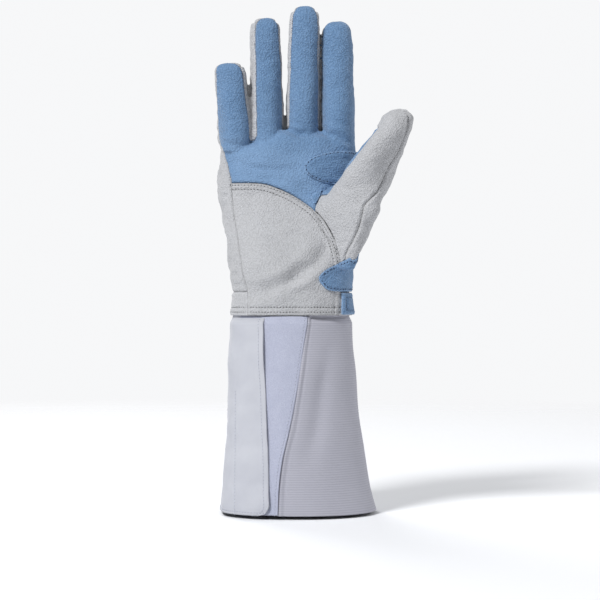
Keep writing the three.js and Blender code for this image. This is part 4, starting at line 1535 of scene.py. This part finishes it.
def elastic_offset(angle, z, share, run):
    """How far the elastic stands out: its folded edge, its far seam, its ribs and a soft valley."""
    near = (angle - fold_angle(z)) * CUFF_RADIUS
    past = run * (1 - share)
    top = CUFF_LENGTH - z
    tuck = -(PILE + 0.4) * smoothstep(-near, 0.0, 1.0)
    bead = 0.9 * hump(near, 1.3, 1.4) - 0.3 * hump(near, 0.6, 3.6)
    edge = 0.5 * hump(past, 1.3, 1.6) - 0.45 * hump(past, 0.6, 4.0)
    ribs = 0.05 * np.cos(2 * math.pi * z / RIB_PITCH) * smoothstep(near, 2.0, 4.0)
    soft = soft_waves(angle, z, 60, 21) * 0.5
    valley = -2.4 * hump(near, 7, 13 + 0.06 * z) * smoothstep(z, 20, 60) * smoothstep(top, 10, 50)
    return bead + edge + tuck + ribs + smoothstep(top, 0, 14) * (soft + valley)


def loop_offset(angle, z, share, run):
    return 0.3 + PILE + z * 0


def cuff_piece(name, sheet, material, slot, thickness):
    points = sheet["points"]
    made = mesh_object(name + "_" + slot.split("_")[-1], points["place"], sheet["faces"], material)
    layer = made.data.uv_layers.new(name="UVMap")
    layer.data.foreach_set("uv", (points["uv"][sheet["faces"].ravel()] * MM).astype(np.float32).ravel())
    thicken(made, thickness)
    finish_piece(made, slot, name)


cloth_sheet = cuff_sheet(cloth_from, cloth_to, cloth_offset, 0, SHEET_TOP, 300, 140)
elastic_sheet = cuff_sheet(elastic_from, elastic_to, elastic_offset, 0, SHEET_TOP, 130, 360)
loop_sheet = cuff_sheet(loop_from, loop_to, loop_offset, 0.6, CUFF_LENGTH - 0.5, 60, 200)
cuff_piece("cuff_panel", cloth_sheet, plain_cloth, "plain_cloth", CLOTH)
cuff_piece("elastic_panel", elastic_sheet, ribbed_elastic, "ribbed_elastic", ELASTIC)
cuff_piece("loop_strip", loop_sheet, loop_pile, "loop_pile", PILE)

cloth, loop, ribbed = (sheet["points"] for sheet in (cloth_sheet, loop_sheet, elastic_sheet))
low_left = np.minimum(82 - cloth["place"][:, 2], -10 - cloth["place"][:, 1])
cuff_lines = row_on(cloth_sheet, cloth["past"] - FLAP_ROW)
cuff_lines += row_on(cloth_sheet, cloth["place"][:, 0] - LEFT_ROW, 20, low_left)
cuff_lines += row_on(cloth_sheet, cloth["place"][:, 2] - RIM_ROW)
cuff_lines += row_on(loop_sheet, loop["past"] - LOOP_ROW)
cuff_lines += row_on(elastic_sheet, ribbed["past"] - ELASTIC_ROW)
stitches(
    "cuff_stitches", cuff_lines, pale_threads, "plain_cloth",
    pitch=2.3, length=1.6, thickness=0.35, hole=0.45,
)


# Camera, lights and floor

bpy.context.scene.view_settings.view_transform = "Standard"
camera_data = bpy.data.cameras.new("camera")
camera_data.sensor_width = 36
camera_data.lens = 36 * CAMERA_AWAY / CAMERA_VIEW
camera_data.clip_end = 20
camera = bpy.data.objects.new("camera", camera_data)
camera.location = (0.0063, -CAMERA_AWAY, 0.1456)
camera.rotation_euler = (math.pi / 2, 0, 0)
bpy.context.collection.objects.link(camera)
bpy.context.scene.camera = camera

# Each light's place, the height that it aims at, its size in metres and its watts
for name, place, aim, size, power in (
    ("key", (-0.9, -1.2, 1.55), 0.18, 0.5, 38),
    ("side", (1.7, 0.5, 0.9), 0.15, 1.0, 12),
    ("back", (-0.6, 1.6, 1.2), 0.2, 1.0, 18),
):
    data = bpy.data.lights.new(name, "AREA")
    data.shape = "DISK"
    data.size = size
    data.energy = power
    lamp = bpy.data.objects.new(name, data)
    lamp.location = place
    lamp.rotation_euler = (Vector((0, 0, aim)) - Vector(place)).to_track_quat("-Z", "Y").to_euler()
    bpy.context.collection.objects.link(lamp)

# The room's light; the camera sees it as plain white paper
world = bpy.data.worlds.new("studio")
world.use_nodes = True
room = world.node_tree
backdrop = room.nodes["Background"]
feed(room, backdrop, {"Color": (0.95, 0.97, 1.0, 1), "Strength": 0.28})
paper = node(room, "ShaderNodeBackground", {"Color": (0.93, 0.935, 0.945, 1)})
rays = node(room, "ShaderNodeLightPath").outputs["Is Camera Ray"]
seen = node(room, "ShaderNodeMixShader", {0: rays, 1: backdrop.outputs[0], 2: paper.outputs[0]})
feed(room, room.nodes["World Output"], {"Surface": seen.outputs[0]})
bpy.context.scene.world = world


def stage_floor(sides=64, reach=1600, height=-2.5):
    """A pale floor just below the cuff's rim, which fades out into the room."""
    turns = np.arange(sides) / sides * 2 * math.pi
    verts = np.stack([reach * np.cos(turns), reach * np.sin(turns), np.full(sides, height)], -1)
    floor = new_object("floor", verts, [], [tuple(range(sides))])
    made, tree, shader, coordinates = new_material("pale floor")
    cloud = noise(tree, coordinates["Object"], 3)
    tint = mix_colours(tree, cloud, colour(244, 245, 247), colour(240, 241, 244))
    away = node(tree, "ShaderNodeVectorMath", {0: coordinates["Object"]}, operation="LENGTH")
    fade = ranged(tree, away.outputs["Value"], 0.45, 1.5, 1.0, 0.0)
    feed(tree, shader, {"Base Color": tint, "Roughness": 0.9, "Alpha": fade})
    floor.data.materials.append(made)


stage_floor()
